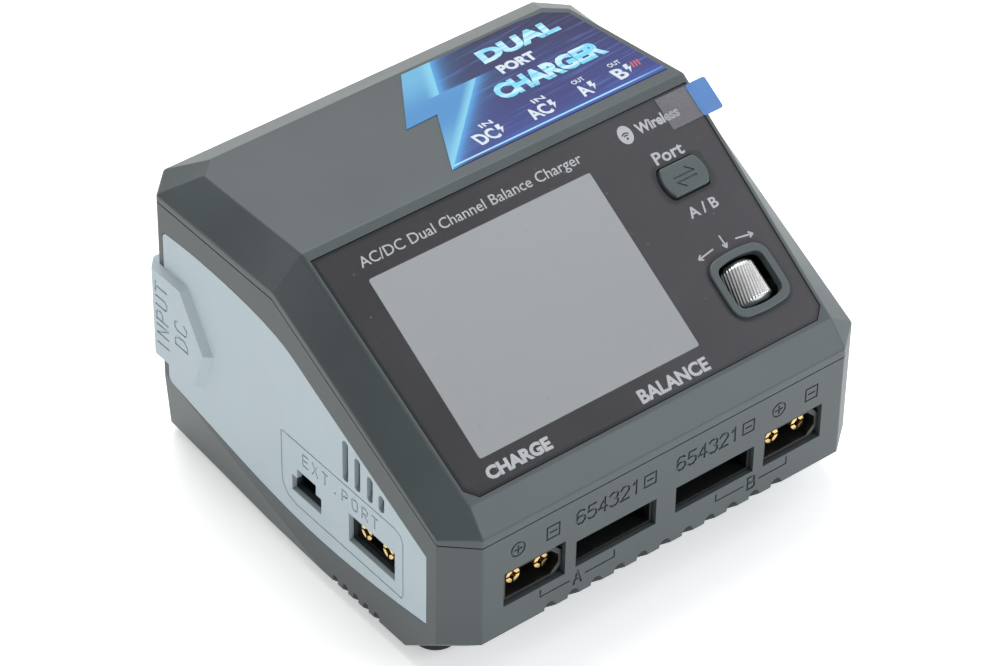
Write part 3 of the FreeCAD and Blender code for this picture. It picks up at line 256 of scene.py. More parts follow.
def moulded(name, colour, rough=0.5, pit=0.32, depth=0.012, spread=0.07, **constants):
    """Moulded plastic: a fine spark-eroded grain with slow, faint changes of shade."""
    f = Finish(name, **constants)
    fine, slow = f.grain(pit, 3.0), f.grain(17.0, 2.0)
    dark, light = shades(colour, spread)
    f.feed("Base Color", f.mix((slow * 0.55 + fine * 0.45).ramp(0.3, 0.7), dark, light))
    f.feed("Roughness", rough + (slow - 0.5) * 0.10 + (fine - 0.5) * 0.12)
    f.bump(fine, depth)
    return f.material


def metal(name, colour, rough=0.28, stretch=(1, 1, 1), scratch=0.12, depth=0.004):
    """Bright metal with the fine lines that turning or rolling leaves."""
    f = Finish(name, metallic=1.0)
    lines, slow = f.grain(scratch, 3.0, stretch), f.grain(5.0)
    dark, light = shades(colour, 0.08)
    f.feed("Base Color", f.mix(slow.ramp(0.35, 0.65), dark, light))
    f.feed("Roughness", rough + (lines - 0.5) * 0.16 + (slow - 0.5) * 0.08)
    f.bump(lines, depth)
    return f.material


print("finishes ready")

# %% [markdown]
# ## The housing
# The shells and side panels are ABS from a spark-eroded mould: a tight, even
# grain that kills the shine on the flats but still lets a low light graze off the
# edges. A picture of grain would need unwrapping; noise in the piece's own space
# needs nothing and has no seams. The side panels are a paler, bluer batch.

# %% Housing plastics
case_plastic = moulded("case_plastic", seen(77, 85, 87), 0.46)
cover_plastic = moulded("cover_plastic", seen(78, 86, 88), 0.45)
panel_plastic = moulded("panel_plastic", seen(190, 206, 212), 0.5, depth=0.01, spread=0.035)
control_plastic = moulded("control_plastic", seen(80, 89, 91), 0.42, pit=0.25)
black_plastic = moulded("black_plastic", seen(30, 31, 33), 0.42, pit=0.4, spread=0.15)
socket_black = moulded("socket_black", seen(26, 27, 29), 0.36, pit=0.5, spread=0.2)
inner_black = moulded("inner_black", seen(16, 16, 17), 0.75, specular_ior_level=0.15)
foot_rubber = moulded("foot_rubber", seen(42, 44, 47), 0.72, pit=0.6, depth=0.03, spread=0.15)
print("case", case_plastic.name, "panels", panel_plastic.name)

# %% [markdown]
# ## The display plate and screen
# The plate is a printed sheet under a shipping film, so its black looks like a
# satin charcoal with a soft, slightly blotchy shine; a painted reflection makes it a
# little greyer to the right. The unlit screen is a flat grey with painted light that
# makes it a little lighter towards the top.

# %% Plate and screen
PAINTED_REFLECTION_REACH = 0.045       # m either side of the middle, where the black turns greyer


def plate_finish():
    f = Finish("plate_print_black", specular_ior_level=0.35)
    slow, fine = f.grain(22.0, 2.0), f.grain(0.3, 2.0)
    x = f.parts(f.where())[0]
    # Painted reflection: the black turns greyer towards the right.
    painted_reflection_share = (x / PAINTED_REFLECTION_REACH + (slow - 0.5) * 0.6).ramp(-0.9, 1.0)
    f.feed("Base Color", f.mix(painted_reflection_share, seen(36, 34, 38), seen(60, 58, 62)))
    f.feed("Roughness", 0.42 + (slow - 0.5) * 0.14 + (fine - 0.5) * 0.05)
    f.bump(fine, 0.0004)
    return f.material


def screen_finish():
    f = Finish("screen_grey", coat_roughness=0.08)
    z = f.parts(f.where())[2]
    low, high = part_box("screen_window")
    # Painted light: the grey is a little lighter towards the top.
    rise = (z - low.z) / (high.z - low.z)
    slow = f.grain(30.0, 1.0)
    share = (rise + (slow - 0.5) * 0.25).ramp(-0.1, 1.1)
    f.feed("Base Color", f.mix(share, seen(153, 155, 157), seen(158, 160, 163)))
    f.feed("Roughness", 0.42 + (slow - 0.5) * 0.1)
    f.feed("Coat Weight", 0.3 + (slow - 0.5) * 0.2)
    return f.material


plate_black, screen_grey = plate_finish(), screen_finish()
print("plate and screen ready")

# %% [markdown]
# ## Metals and what is inside
# The contacts are gold plated and the screws zinc plated. Inside sit a green
# board, its parts and a heatsink. They hardly show, but each still gets a finish
# of its own, because a reader who lifts the cover should find a charger there.

# %% Metals and inner parts
gold = metal("gold_plate", (0.83, 0.60, 0.24), 0.22)
screw_steel = metal("screw_steel", (0.52, 0.53, 0.55), 0.3)
heatsink_metal = metal("heatsink_metal", (0.6, 0.62, 0.64), 0.35, (1, 0.05, 1))
ferrite = moulded("ferrite", seen(52, 52, 55), 0.6, pit=0.8, depth=0.03)
coil_tape = moulded("coil_tape", seen(206, 180, 72), 0.3, pit=1.2)
sleeve = moulded("capacitor_sleeve", seen(38, 45, 84), 0.25, pit=1.5)
ribbon = moulded("ribbon_grey", seen(150, 150, 155), 0.45)
white_plastic = moulded("white_plastic", seen(214, 214, 208), 0.4, pit=0.5)


def board_green():
    f = Finish("board_green", coat_weight=0.5, coat_roughness=0.15)
    x, y = f.parts(f.where())[:2]
    across, along = (x * (2 * math.pi / 0.0031)).sine(), (y * (2 * math.pi / 0.0043)).sine()
    tracks = (across * along).ramp(0.1, 0.25) * f.grain(6.0, 1.0).ramp(0.45, 0.55)
    f.feed("Base Color", f.mix(tracks, seen(12, 84, 48), seen(40, 118, 66)))
    f.feed("Roughness", 0.35 + tracks * 0.1)
    f.bump(tracks, 0.03)
    return f.material


circuit_board = board_green()
print("inner finishes ready")

# %% Give every CAD node its finish
FINISH_OF = {
    "bottom_case": case_plastic, "top_cover": cover_plastic, "left_side_panel": panel_plastic,
    "right_side_panel": panel_plastic, "rubber_feet": foot_rubber, "face_plate": plate_black,
    "screen_window": screen_grey, "lcd_frame": white_plastic, "display_board": circuit_board,
    "main_board": circuit_board, "radio_module": circuit_board, "wheel_bezel": control_plastic,
    "port_button": control_plastic, "heatsink": heatsink_metal, "transformer_core": ferrite,
    "inductors": ferrite, "transformer_coil": coil_tape, "capacitors": sleeve, "fuse": white_plastic,
    "ribbon_cable": ribbon, "balance_socket_a": socket_black,
    "balance_socket_b": socket_black, "output_socket_a": socket_black, "output_socket_b": socket_black,
    "ext_socket": socket_black, "signal_socket": socket_black, "dc_input_socket": socket_black,
    "wheel_carrier": inner_black, "wheel_guide": inner_black, "wheel_axle": inner_black,
}


def finish_of(name):
    if "pins" in name:
        return gold
    if "screws" in name:
        return screw_steel
    return FINISH_OF.get(name, black_plastic)


for name, node in nodes.items():
    node.data.materials.clear()
    node.data.materials.append(finish_of(name))
print("finished", len(nodes), "nodes with", len({finish_of(n).name for n in nodes}), "finishes")

# %% [markdown]
# ## Turning a drawing into a thin solid
# Print on the plate is a few hundredths of a millimetre of ink. Blender's text
# and filled curves already know how to fill a shape with holes in it, so each
# word or mark is drawn flat, given a thickness, welded, and then laid on its
# place. Fitting a word to the box that it has to fill is safer than guessing a
# font size.

# %% Drawing helpers
INK = 0.03        # mm
scratch = bpy.data.collections.new("scratch")
bpy.context.scene.collection.children.link(scratch)


def to_mesh(data, thick):
    """A mesh of a text or curve, welded, standing from 0 to thick."""
    o = bpy.data.objects.new("drawing", data)
    scratch.objects.link(o)
    bpy.context.view_layer.update()
    mesh = bpy.data.meshes.new_from_object(o.evaluated_get(bpy.context.evaluated_depsgraph_get()))
    bpy.data.objects.remove(o)
    bm = bmesh.new()
    bm.from_mesh(mesh)
    bpy.data.meshes.remove(mesh)
    bmesh.ops.remove_doubles(bm, verts=bm.verts, dist=1e-4)
    z = [v.co.z for v in bm.verts]
    for v in bm.verts:
        v.co.z = thick if v.co.z > (min(z) + max(z)) / 2 else 0.0
    bmesh.ops.recalc_face_normals(bm, faces=bm.faces)
    return bm


def words(text, x0, x1, y0, y1, bold=0.0, lean=0.0, thick=INK):
    """A word that fills the box from x0 to x1 and y0 to y1, in mm."""
    t = bpy.data.curves.new("words", "FONT")
    t.body, t.offset, t.shear, t.extrude, t.resolution_u = text, bold, lean, 0.1, 3
    bm = to_mesh(t, thick)
    xs, ys = [v.co.x for v in bm.verts], [v.co.y for v in bm.verts]
    for v in bm.verts:
        v.co.x = x0 + (v.co.x - min(xs)) / (max(xs) - min(xs)) * (x1 - x0)
        v.co.y = y0 + (v.co.y - min(ys)) / (max(ys) - min(ys)) * (y1 - y0)
    return bm


def cut_out(*loops, thick=INK):
    """A flat shape: its outline, then the outlines of any holes."""
    c = bpy.data.curves.new("shape", "CURVE")
    c.dimensions, c.fill_mode, c.extrude = "2D", "BOTH", 0.1
    for points in loops:
        s = c.splines.new("POLY")
        s.points.add(len(points) - 1)
        for p, (x, y) in zip(s.points, points):
            p.co = (x, y, 0, 1)
        s.use_cyclic_u = True
    return to_mesh(c, thick)


def lay(drawings, name, place, lift, finish, body="housing"):
    """Joins drawings into one piece that lies lift mm above its place."""
    whole = bmesh.new()
    for bm in drawings:
        m = bpy.data.meshes.new("part")
        bm.to_mesh(m)
        bm.free()
        whole.from_mesh(m)
        bpy.data.meshes.remove(m)
    bmesh.ops.translate(whole, verts=whole.verts, vec=(0, 0, lift))
    whole.transform(place.matrix())
    mesh = bpy.data.meshes.new(name)
    whole.to_mesh(mesh)
    whole.free()
    mesh.materials.append(finish)
    o = bpy.data.objects.new(name, mesh)
    bpy.context.scene.collection.objects.link(o)
    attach(o, body)
    print("laid", name, len(mesh.polygons), "faces")
    return o


def arc(cx, cy, rx, ry, a0, a1, n=20):
    """Points along part of an oval, in degrees."""
    return [(cx + rx * math.cos(math.radians(a0 + (a1 - a0) * i / n)),
             cy + ry * math.sin(math.radians(a0 + (a1 - a0) * i / n))) for i in range(n + 1)]


def bar(x0, y0, x1, y1, w):
    """The outline of a straight stroke."""
    d = math.hypot(x1 - x0, y1 - y0)
    nx, ny = -(y1 - y0) / d * w / 2, (x1 - x0) / d * w / 2
    return [(x0 + nx, y0 + ny), (x1 + nx, y1 + ny), (x1 - nx, y1 - ny), (x0 - nx, y0 - ny)]


print("drawing helpers ready")

# %% [markdown]
# ## The print on the plate
# Pale grey screen print: a title over the display, names for the button and
# its two channels, three arrows round the roller and a radio sign. All of it is
# plain wording and plain signs. The ink is its own piece, so it can be paler and
# rougher than the plate without a mask.

# %% Ink


def ink(name, colour, rough=0.5):
    f = Finish(name)
    fine, slow = f.grain(0.12, 2.0), f.grain(4.0)
    dark, light = shades(colour, 0.06)
    f.feed("Base Color", f.mix((fine * 0.5 + slow * 0.5).ramp(0.35, 0.65), dark, light))
    f.feed("Roughness", rough + (fine - 0.5) * 0.2)
    f.bump(fine, 0.002)
    return f.material


pale_ink = ink("pale_ink", seen(186, 187, 190))


def arrow(x0, y0, x1, y1, w=0.34, head=1.25):
    """A thin arrow with an open, swept head."""
    a = math.atan2(y1 - y0, x1 - x0)
    out = [cut_out(bar(x0, y0, x1, y1, w))]
    for turn in (150, -150):
        b = a + math.radians(turn)
        out.append(cut_out(bar(x1, y1, x1 + head * math.cos(b), y1 + head * math.sin(b), w)))
    return out


plate_print = [words("AC/DC Dual Channel Balance Charger", -39.7, 17.2, 50.9, 54.0, 0.004)]
plate_print += [words("Port", 31.9, 39.6, 44.0, 46.9, 0.022)]
plate_print += [words("A / B", 32.0, 39.7, 30.7, 33.2, 0.02)]
plate_print += [words("Wireless", 32.3, 43.6, 51.6, 54.1, 0.03)]
plate_print += [words("CHARGE", -40.6, -24.4, 1.7, 4.6, 0.05)]
plate_print += [words("BALANCE", -1.6, 16.6, 1.1, 4.2, 0.035)]
for ends in ((32.4, 23.1, 28.0, 22.4), (35.4, 25.1, 35.5, 22.0), (38.4, 23.0, 42.8, 22.3)):
    plate_print += arrow(*ends)
disc = arc(29.4, 52.9, 1.75, 2.15, 0, 350, 35)
waves = []
for r in (0.62, 1.15):
    outer, inner = r + 0.17, r - 0.17
    waves.append(arc(29.4, 52.15, outer, outer, 40, 140, 8) + arc(29.4, 52.15, inner, inner, 140, 40, 8))
waves.append(arc(29.4, 52.0, 0.3, 0.3, 0, 330, 11))
plate_print.append(cut_out(disc, *waves))
lay(plate_print, "plate_print", slope, PLATE, pale_ink)

# %% [markdown]
# ## The shipping film
# A clear film still covers the plate. It shows as a faint veil, a crisp edge, a
# scatter of dust, a strip of clear tape at the top corner and the blue tab that
# the buyer pulls. The film is one flat sheet with holes for the button and the
# roller, cut slightly smaller than the plate and lifted clear of the print.

# %% Clear and tinted films


def clear_film(name, colour, veil, rough=0.12, speck=0.0):
    f = Finish(name)
    slow, fine = f.grain(14.0, 2.0), f.grain(0.9, 3.0)
    f.feed("Base Color", f.mix(slow.ramp(0.3, 0.7), *shades(colour, 0.05)))
    f.feed("Roughness", rough + (slow - 0.5) * 0.08)
    f.feed("Alpha", veil + (slow - 0.5) * veil * 0.5 + fine.ramp(0.66, 0.72) * speck)
    f.bump(slow, 0.02)
    return f.material


film_clear = clear_film("film_clear", seen(190, 193, 199), 0.022, 0.22, 0.05)
tape_clear = clear_film("tape_clear", seen(186, 184, 192), 0.17, 0.35, 0.1)
tab_tint = clear_film("tab_tint", seen(90, 138, 202), 0.93, 0.34)


def bowed(cx, cy, hx, hy, bow_x, bow_y, r, n=6):
    """A soft rectangle whose sides bulge by bow_x and bow_y."""
    pts = []
    for qx, qy, a in ((1, 1, 0), (-1, 1, 90), (-1, -1, 180), (1, -1, 270)):
        pts += arc(cx + qx * (hx - r), cy + qy * (hy - r), r, r, a, a + 90, n)
    out = []
    for x, y in pts:
        u, v = (x - cx) / hx, (y - cy) / hy
        out.append((x + math.copysign(bow_x * (1 - min(1, v * v)), u) * (abs(u) > 0.9),
                    y + math.copysign(bow_y * (1 - min(1, u * u)), v) * (abs(v) > 0.9)))
    return out


sheet = [(-44.2, 0.6), (44.2, 0.6), (46.3, 2.8), (48.1, 56.8), (-48.1, 56.8), (-46.3, 2.8)]
button_hole = bowed(BUTTON_X, BUTTON_S, 6.5, 4.6, 0.6, 0, 1.8)
roller_hole = bowed(ROLLER_X, ROLLER_S, 8.5, 7.4, 0.2, 0.9, 3.8)
film_sheet = cut_out(sheet, button_hole, roller_hole, thick=0.06)
film = lay([film_sheet], "shipping_film", slope, PLATE + 0.05, film_clear)
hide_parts("protective_film")
nodes["film_tape"].data.materials[0] = tape_clear
nodes["pull_tab"].data.materials[0] = tab_tint
print("film", len(film.data.vertices), "points")

# %% [markdown]
# ## Nodes that make repeated things
# Dust, roller flutes and fan blades all repeat, so each is a Geometry Nodes tree.
# The helper below makes an empty tree with named sizes. A second one runs the
# tree on a new object, turns the result into a plain mesh and throws the tree
# away, so that the export finds nothing live.

# %% Tree helpers


class Tree(Bench):
    def __init__(self, name, whole=(), **sizes):
        group = bpy.data.node_groups.new(name, "GeometryNodeTree")
        super().__init__(group)
        group.interface.new_socket("Result", in_out="OUTPUT", socket_type="NodeSocketGeometry")
        for size in sizes:
            kind = "NodeSocketInt" if size in whole else "NodeSocketFloat"
            group.interface.new_socket(size, in_out="INPUT", socket_type=kind)
        entry = group.nodes.new("NodeGroupInput")
        self.size = {s: Reading(self, entry.outputs[s]) for s in sizes}
        self.values = sizes

    def close(self, geometry, finish):
        """Ends the tree: real geometry, one finish."""
        real = self.node("GeometryNodeRealizeInstances", None, {0: geometry})
        painted = self.node("GeometryNodeSetMaterial", None, {"Geometry": real, "Material": finish})
        self.tree.links.new(painted.socket, self.tree.nodes.new("NodeGroupOutput").inputs[0])

    def make(self, name, matrix, body, slot, finish):
        """Runs the tree and keeps its result as a plain mesh."""
        o = bpy.data.objects.new(name + "_tree", bpy.data.meshes.new("empty"))
        scratch.objects.link(o)
        modifier = o.modifiers.new("tree", "NODES")
        modifier.node_group = self.tree
        for item in self.tree.interface.items_tree:
            if item.in_out == "INPUT":
                modifier[item.identifier] = self.values[item.name]
        bpy.context.view_layer.update()
        mesh = bpy.data.meshes.new_from_object(o.evaluated_get(bpy.context.evaluated_depsgraph_get()))
        bpy.data.objects.remove(o)
        mesh.name = name
        mesh.transform(matrix)
        mesh.materials.clear()
        mesh.materials.append(finish)
        piece = bpy.data.objects.new(name, mesh)
        bpy.context.scene.collection.objects.link(piece)
        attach(piece, body)
        print("made", name, len(mesh.polygons), "faces")
        return piece


print("tree helpers ready")

# %% [markdown]
# ## Round pieces
# The roller and the fan's hub are both a rectangle with cut corners, swept round
# a circle, with the bore left open. One function makes the circle and the
# rectangle and another sweeps them, because the roller's rectangle needs more
# points before it is swept.

# %% A swept tube


def circle_and_section(tree, resolution, corner, steps):
    """The two curves of a tube from bore to outer; corner and steps shape its edges."""
    size = tree.size
    wall = size["outer"] - size["bore"]
    path = tree.node("GeometryNodeCurvePrimitiveCircle", None,
                     {"Resolution": resolution, "Radius": (size["outer"] + size["bore"]) / 2})
    section = tree.node("GeometryNodeCurvePrimitiveQuadrilateral", None,
                        {"Width": wall, "Height": size["length"]})
    section = tree.node("GeometryNodeFilletCurve", {"mode": "POLY"},
                        {"Curve": section, "Count": steps, "Radius": corner})
    return path, section


def sweep(tree, path, section):
    return tree.node("GeometryNodeCurveToMesh", None, {"Curve": path, "Profile Curve": section})


print("tubes ready")

# %% [markdown]
# ## The roller
# The real roller is turned aluminium with fine flutes that lean like a very
# steep thread, and a bright chamfer at each end. The flutes are pressed in by
# moving each outer point in or out with a wave that shifts along the axle.
# Booleans would give the same shape with far worse edges.

# %% The roller's tree
roller_metal = metal("roller_metal", (0.68, 0.68, 0.68), 0.28, (1, 1, 1), 0.1, 0.003)
roller = Tree("fluted_roller", ("flutes",), outer=5.0, bore=1.06, length=10.0, chamfer=1.2,
              flutes=44, depth=0.17, lean=-0.23)
s = roller.size
path, section = circle_and_section(roller, 528, s["chamfer"], 1)
section = roller.node("GeometryNodeResampleCurve", None, {"Curve": section, "Count": 58})
tube = sweep(roller, path, section)
x, y, z = roller.parts(roller.node("GeometryNodeInputPosition"))
radius = (x * x + y * y) ** 0.5
angle = roller.node("ShaderNodeMath", {"operation": "ARCTAN2"}, {0: y, 1: x})
wave = abs(((angle + z * s["lean"] / s["outer"]) * s["flutes"] / 2).sine())
outside = (radius > s["outer"] - s["depth"]) * (abs(z) < s["length"] / 2 - s["chamfer"] * 0.8)
shrink = 1 - outside * s["depth"] * (1 - wave) / s["outer"]
moved = roller.vector(x * shrink, y * shrink, z)
tube = roller.node("GeometryNodeSetPosition", None, {"Geometry": tube, "Position": moved})
roller.close(tube, roller_metal)
print("roller sizes", roller.values)

# %% The roller on its axle
roller_frame = Matrix.Identity(4)
for i in range(3):
    roller_frame[i][0], roller_frame[i][1] = Vector((1, 0, 0))[i] * MM, (-slope_out)[i] * MM
    roller_frame[i][2], roller_frame[i][3] = slope_up[i] * MM, roller_at[i]
fluted = roller.make("fluted_roller", roller_frame, "scroll_wheel", "roller_metal", roller_metal)
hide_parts("scroll_wheel")

# %% [markdown]
# A made-up thin dark sheet under the plate, beside the roller, stands in for the shade
# in the gap: it keeps the daylight of the right vents out, so that the gap reads black as it does on the
# bench.

# %% Shade beside the roller
SHADE_LEFT, SHADE_RIGHT = 44.3, 44.8     # mm across the slope
SHADE_FOOT, SHADE_HEAD = 7.0, 22.0       # mm up the slope
SHADE_BOTTOM, SHADE_HEIGHT = -13.2, 11.2 # mm out of the slope
shade = cut_out([(SHADE_LEFT, SHADE_FOOT), (SHADE_RIGHT, SHADE_FOOT),
                 (SHADE_RIGHT, SHADE_HEAD), (SHADE_LEFT, SHADE_HEAD)], thick=SHADE_HEIGHT)
lay([shade], "wheel_shade", slope, SHADE_BOTTOM, inner_black)

# %% [markdown]
# ## The fan's rotor
# Seven blades that twist from hub to tip, seen through the grille. One blade is a
# thin block whose points are turned by an angle that falls off with the radius;
# the tree copies it round the hub. The hub is swept like the roller.

# %% Where the fan is
fan_low, fan_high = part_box("fan_rotor")
fan_at = Vector(joints["fan_spin"]["pos_m"])
hub_back = (fan_high.y - fan_at.y) / MM
hub_front = (fan_low.y - fan_at.y) / MM
fan_tip = (fan_high.x - fan_at.x) / MM - 0.1
fan_black = moulded("fan_black", seen(28, 29, 31), 0.38, pit=0.7, spread=0.15)
print("fan tip mm", round(fan_tip, 2), "hub from", round(hub_front, 2), "to", round(hub_back, 2))

# %% Fan blades
blades = Tree("fan_blades", ("count",), count=7, hub=9.3, tip=fan_tip, chord=11.4, thick=0.9,
              pitch=0.82, washout=0.26)
s = blades.size
block = blades.node("GeometryNodeMeshCube", None,
                    {"Size": (1, 1, 1), "Vertices X": 14, "Vertices Y": 11, "Vertices Z": 2})
x, y, z = blades.parts(blades.node("GeometryNodeInputPosition"))
reach = x + 0.5
turn = s["pitch"] - reach * s["washout"]
along = y * s["chord"] * (0.86 + reach * 0.24)
arch = (1 - y * y * 4) * 0.9 + z * s["thick"] * (1 - y * y * 2.6)
swept = along * turn.cosine() - arch * turn.sine() + reach * reach * 2.2
rise = along * turn.sine() + arch * turn.cosine()
out = s["hub"] - 0.5 + reach * (s["tip"] - s["hub"] + 0.1)
out = (out * out - swept * swept * 0.92).most(1.0) ** 0.5
moved = blades.vector(out, swept, rise * 0.8)
block = blades.node("GeometryNodeSetPosition", None, {"Geometry": block, "Position": moved})
spots = blades.node("GeometryNodePoints", None, {"Count": s["count"]})
number = blades.node("GeometryNodeInputIndex")
spin = blades.vector(0.0, 0.0, number * (2 * math.pi) / s["count"])
ring = blades.node("GeometryNodeInstanceOnPoints", None,
                   {"Points": spots, "Instance": block, "Rotation": spin})
blades.close(ring, fan_black)
fan_frame = Matrix.Translation(fan_at) @ Matrix.Rotation(-math.pi / 2, 4, "X") @ Matrix.Scale(MM, 4)
blade_ring = blades.make("fan_blade_ring", fan_frame, "fan_rotor", "black_plastic", fan_black)

# %% Fan hub
hub = Tree("fan_hub", outer=9.5, bore=1.0, length=hub_back - hub_front - 0.4, round_edge=1.3)
path, section = circle_and_section(hub, 96, hub.size["round_edge"], 5)
hub.close(sweep(hub, path, section), fan_black)
hub_frame = Matrix.Translation(Vector((0, (hub_back + hub_front) / 2 * MM, 0))) @ fan_frame
fan_hub = hub.make("fan_hub", hub_frame, "fan_rotor", "black_plastic", fan_black)
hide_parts("fan_rotor")
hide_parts("fan_rotor")

# %% [markdown]
# ## Dust on the film
# Film draws dust. A tree scatters points over the plate with a fixed seed and
# puts a tiny flattened grain on each; the seed is fixed so that every run gives
# the same dust.

# %% Dust
dust_white = ink("dust_white", seen(205, 206, 208), 0.8)
dust = Tree("film_dust", ("seed",), width=92.0, height=53.0, per_square_mm=0.02, grain=0.12, seed=7)
s = dust.size
field = dust.node("GeometryNodeMeshGrid", None,
                  {"Size X": s["width"], "Size Y": s["height"], "Vertices X": 2, "Vertices Y": 2})
spots = dust.node("GeometryNodeDistributePointsOnFaces", None,
                  {"Mesh": field, "Density": s["per_square_mm"], "Seed": s["seed"]})
x, y = dust.parts(dust.node("GeometryNodeInputPosition"))[:2]
near_roller = (abs(x - ROLLER_X) < 9.5) * (abs(y - (ROLLER_S - PLATE_MIDDLE)) < 9.0)
near_button = (abs(x - BUTTON_X) < 7.2) * (abs(y - (BUTTON_S - PLATE_MIDDLE)) < 5.2)
spots = dust.node("GeometryNodeDeleteGeometry", None,
                  {"Geometry": spots, "Selection": (near_roller + near_button) > 0.5})
grain = dust.node("GeometryNodeMeshIcoSphere", None, {"Radius": s["grain"], "Subdivisions": 1})
uneven = dust.node("FunctionNodeRandomValue", {"data_type": "FLOAT"},
                   {2: 0.35, 3: 1.0, "Seed": s["seed"]}, 1)
scattered = dust.node("GeometryNodeInstanceOnPoints", None,
                      {"Points": spots, "Instance": grain, "Scale": dust.vector(uneven, uneven * 0.7, 0.25)})
dust.close(scattered, dust_white)
dust_frame = slope.matrix() @ Matrix.Translation(Vector((0, PLATE_MIDDLE, PLATE + 0.13)))
dust.make("film_dust", dust_frame, "housing", "white_plastic", dust_white)

# %% [markdown]
# ## The sticker on the flat top
# A glossy sticker, deep blue and violet, with slanting streaks of light, a pale
# jagged left end and a bright line along its near edge. The outline is in the
# CAD; the picture is worked out from distances across and up the sticker, which
# stays sharp at any size. The lettering is plain wording in thin ink.

# %% Sticker picture


def sticker_finish():
    f = Finish("sticker_print", specular_ior_level=0.25)
    x, y = f.parts(f.where())[:2]
    across = x / MM
    up = (y - top.corner.y) / (MM * top.up.y)
    low_edge, high_edge = (up - 2.7) * 1.036 - 9.5, (up - 26.8) * 0.542 + 5.9
    upper = up > 27.3
    edge = high_edge * upper + low_edge * (1 - upper)
    inside = (edge - across).ramp(-0.12, 0.12)
    lean = f.node("ShaderNodeMapping", None, {"Vector": f.where(), "Rotation": (0, 0, math.radians(-4))})
    streak_at = f.node("ShaderNodeVectorMath", {"operation": "MULTIPLY"}, {0: lean, 1: (0.045, 1.0, 1.0)})
    streaks = f.node("ShaderNodeTexNoise", None,
                     {"Vector": streak_at, "Scale": 1100.0, "Detail": 3.0, "Roughness": 0.65})
    slow = f.grain(24.0, 2.0)
    night = f.mix((up + (slow - 0.5) * 22).ramp(8, 40), seen(58, 62, 118), seen(50, 48, 76))
    night = f.mix(streaks.ramp(0.5, 0.72) * (1 - up.ramp(26, 40) * 0.5) * 0.75, night, seen(80, 104, 168))
    halo = 1 / (1 + abs(across - edge) * abs(across - edge) * 0.28)
    night = f.mix(halo * 0.75, night, seen(90, 170, 235))
    glow = 1 / (1 + abs(up - 3.9) * abs(up - 3.9) * 0.35)
    night = f.mix(glow * across.ramp(-6, 8) * 0.6, night, seen(64, 92, 176))
    line = (1 - abs(up - 4.15 - across * 0.004).ramp(0.12, 0.34)) * (1 - across.ramp(34, 49) * 0.8)
    night = f.mix(line * 0.95, night, seen(165, 226, 250))
    rim = (edge - across).ramp(0.2, 3.4)
    middle = (rim * (1 - abs(up - 22).ramp(2, 15) * 0.55)).least(1.0)
    flash = f.mix(middle * 0.85, seen(126, 196, 222), seen(68, 126, 188))
    f.feed("Base Color", f.mix(inside, night, flash))
    f.feed("Roughness", 0.5 + (slow - 0.5) * 0.1)
    return f.material


nodes["top_label"].data.materials[0] = sticker_finish()
print("sticker picture on", nodes["top_label"].name)

# %% Sticker lettering


def sticker_ink():
    """Cyan ink with paler streaks that run along the words."""
    f = Finish("sticker_ink")
    stretched = f.node("ShaderNodeVectorMath", {"operation": "MULTIPLY"}, {0: f.where(), 1: (0.12, 1.0, 1.0)})
    streaks = f.node("ShaderNodeTexNoise", None, {"Vector": stretched, "Scale": 900.0, "Detail": 3.0})
    f.feed("Base Color", f.mix(streaks.ramp(0.42, 0.6), seen(112, 205, 232), seen(196, 228, 240)))
    f.feed("Roughness", 0.4 + (streaks - 0.5) * 0.1)
    return f.material


cyan_ink = sticker_ink()
white_ink, red_ink = ink("white_ink", seen(206, 216, 226), 0.4), ink("red_ink", seen(200, 84, 84), 0.4)
big = [words("DUAL", 20.6, 41.6, 29.9, 35.0, 0.06, 0.12),
       words("CHARGER", 15.0, 43.2, 16.2, 22.2, 0.06, 0.12)]
lay(big, "sticker_big_words", top, LABEL_THICK, cyan_ink)
small = [words("PORT", 21.0, 31.0, 24.4, 27.8, 0.05, 0.12)]


def spark(x, y, h):
    """A small plain zigzag."""
    pts = [(0.2, 1.0), (0.75, 1.0), (0.5, 0.62), (0.85, 0.62), (0.1, 0.0), (0.32, 0.46), (0.0, 0.46)]
    return cut_out([(x + a * h * 0.6, y + b * h) for a, b in pts])


for word, note, x0, x1 in (("DC", "IN", 1.0, 6.4), ("AC", "IN", 14.9, 20.3),
                           ("A", "OUT", 28.2, 31.0), ("B", "OUT", 38.0, 40.8)):
    small += [words(word, x0, x1, 6.1, 10.3, 0.03), words(note, x1 - 1.6, x1 + 1.6, 11.2, 12.7, 0.02)]
    small.append(spark(x1 + 0.5, 6.9, 3.4))
lay(small, "sticker_small_words", top, LABEL_THICK, white_ink)
slashes = []
for x in (43.0, 43.8, 44.6):
    slashes.append(cut_out([(x, 8.0), (x + 0.42, 8.0), (x + 1.1, 10.2), (x + 0.68, 10.2)]))
lay(slashes, "sticker_red_marks", top, LABEL_THICK, red_ink)

# %% [markdown]
# ## Floor, light and camera
# A pale sheet of paper and a white room, brighter above and to the right, give
# the soft, nearly shadowless look of a catalogue bench. A large light overhead
# and behind makes the rear bevel glow, a weak one on the right lifts the right
# bevel, and a cool one in front lights the sockets. A long lens keeps the
# charger's edges almost parallel.

# %% Floor


def paper():
    f = Finish("paper_floor", emission_color=(1.0, 1.0, 1.0), emission_strength=0.47)
    slow = f.grain(60.0, 1.0)
    f.feed("Base Color", f.mix(slow.ramp(0.3, 0.7), (0.93, 0.93, 0.93), (0.95, 0.95, 0.95)))
    f.feed("Roughness", 0.85 + (slow - 0.5) * 0.05)
    return f.material


floor_mesh = bpy.data.meshes.new("floor")
floor_mesh.from_pydata([(-6, -6, 0), (6, -6, 0), (6, 6, 0), (-6, 6, 0)], [], [(0, 1, 2, 3)])
floor_mesh.materials.append(paper())
floor = bpy.data.objects.new("floor", floor_mesh)
bpy.context.scene.collection.objects.link(floor)
floor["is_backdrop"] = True
print("floor staged at height", floor.location.z)

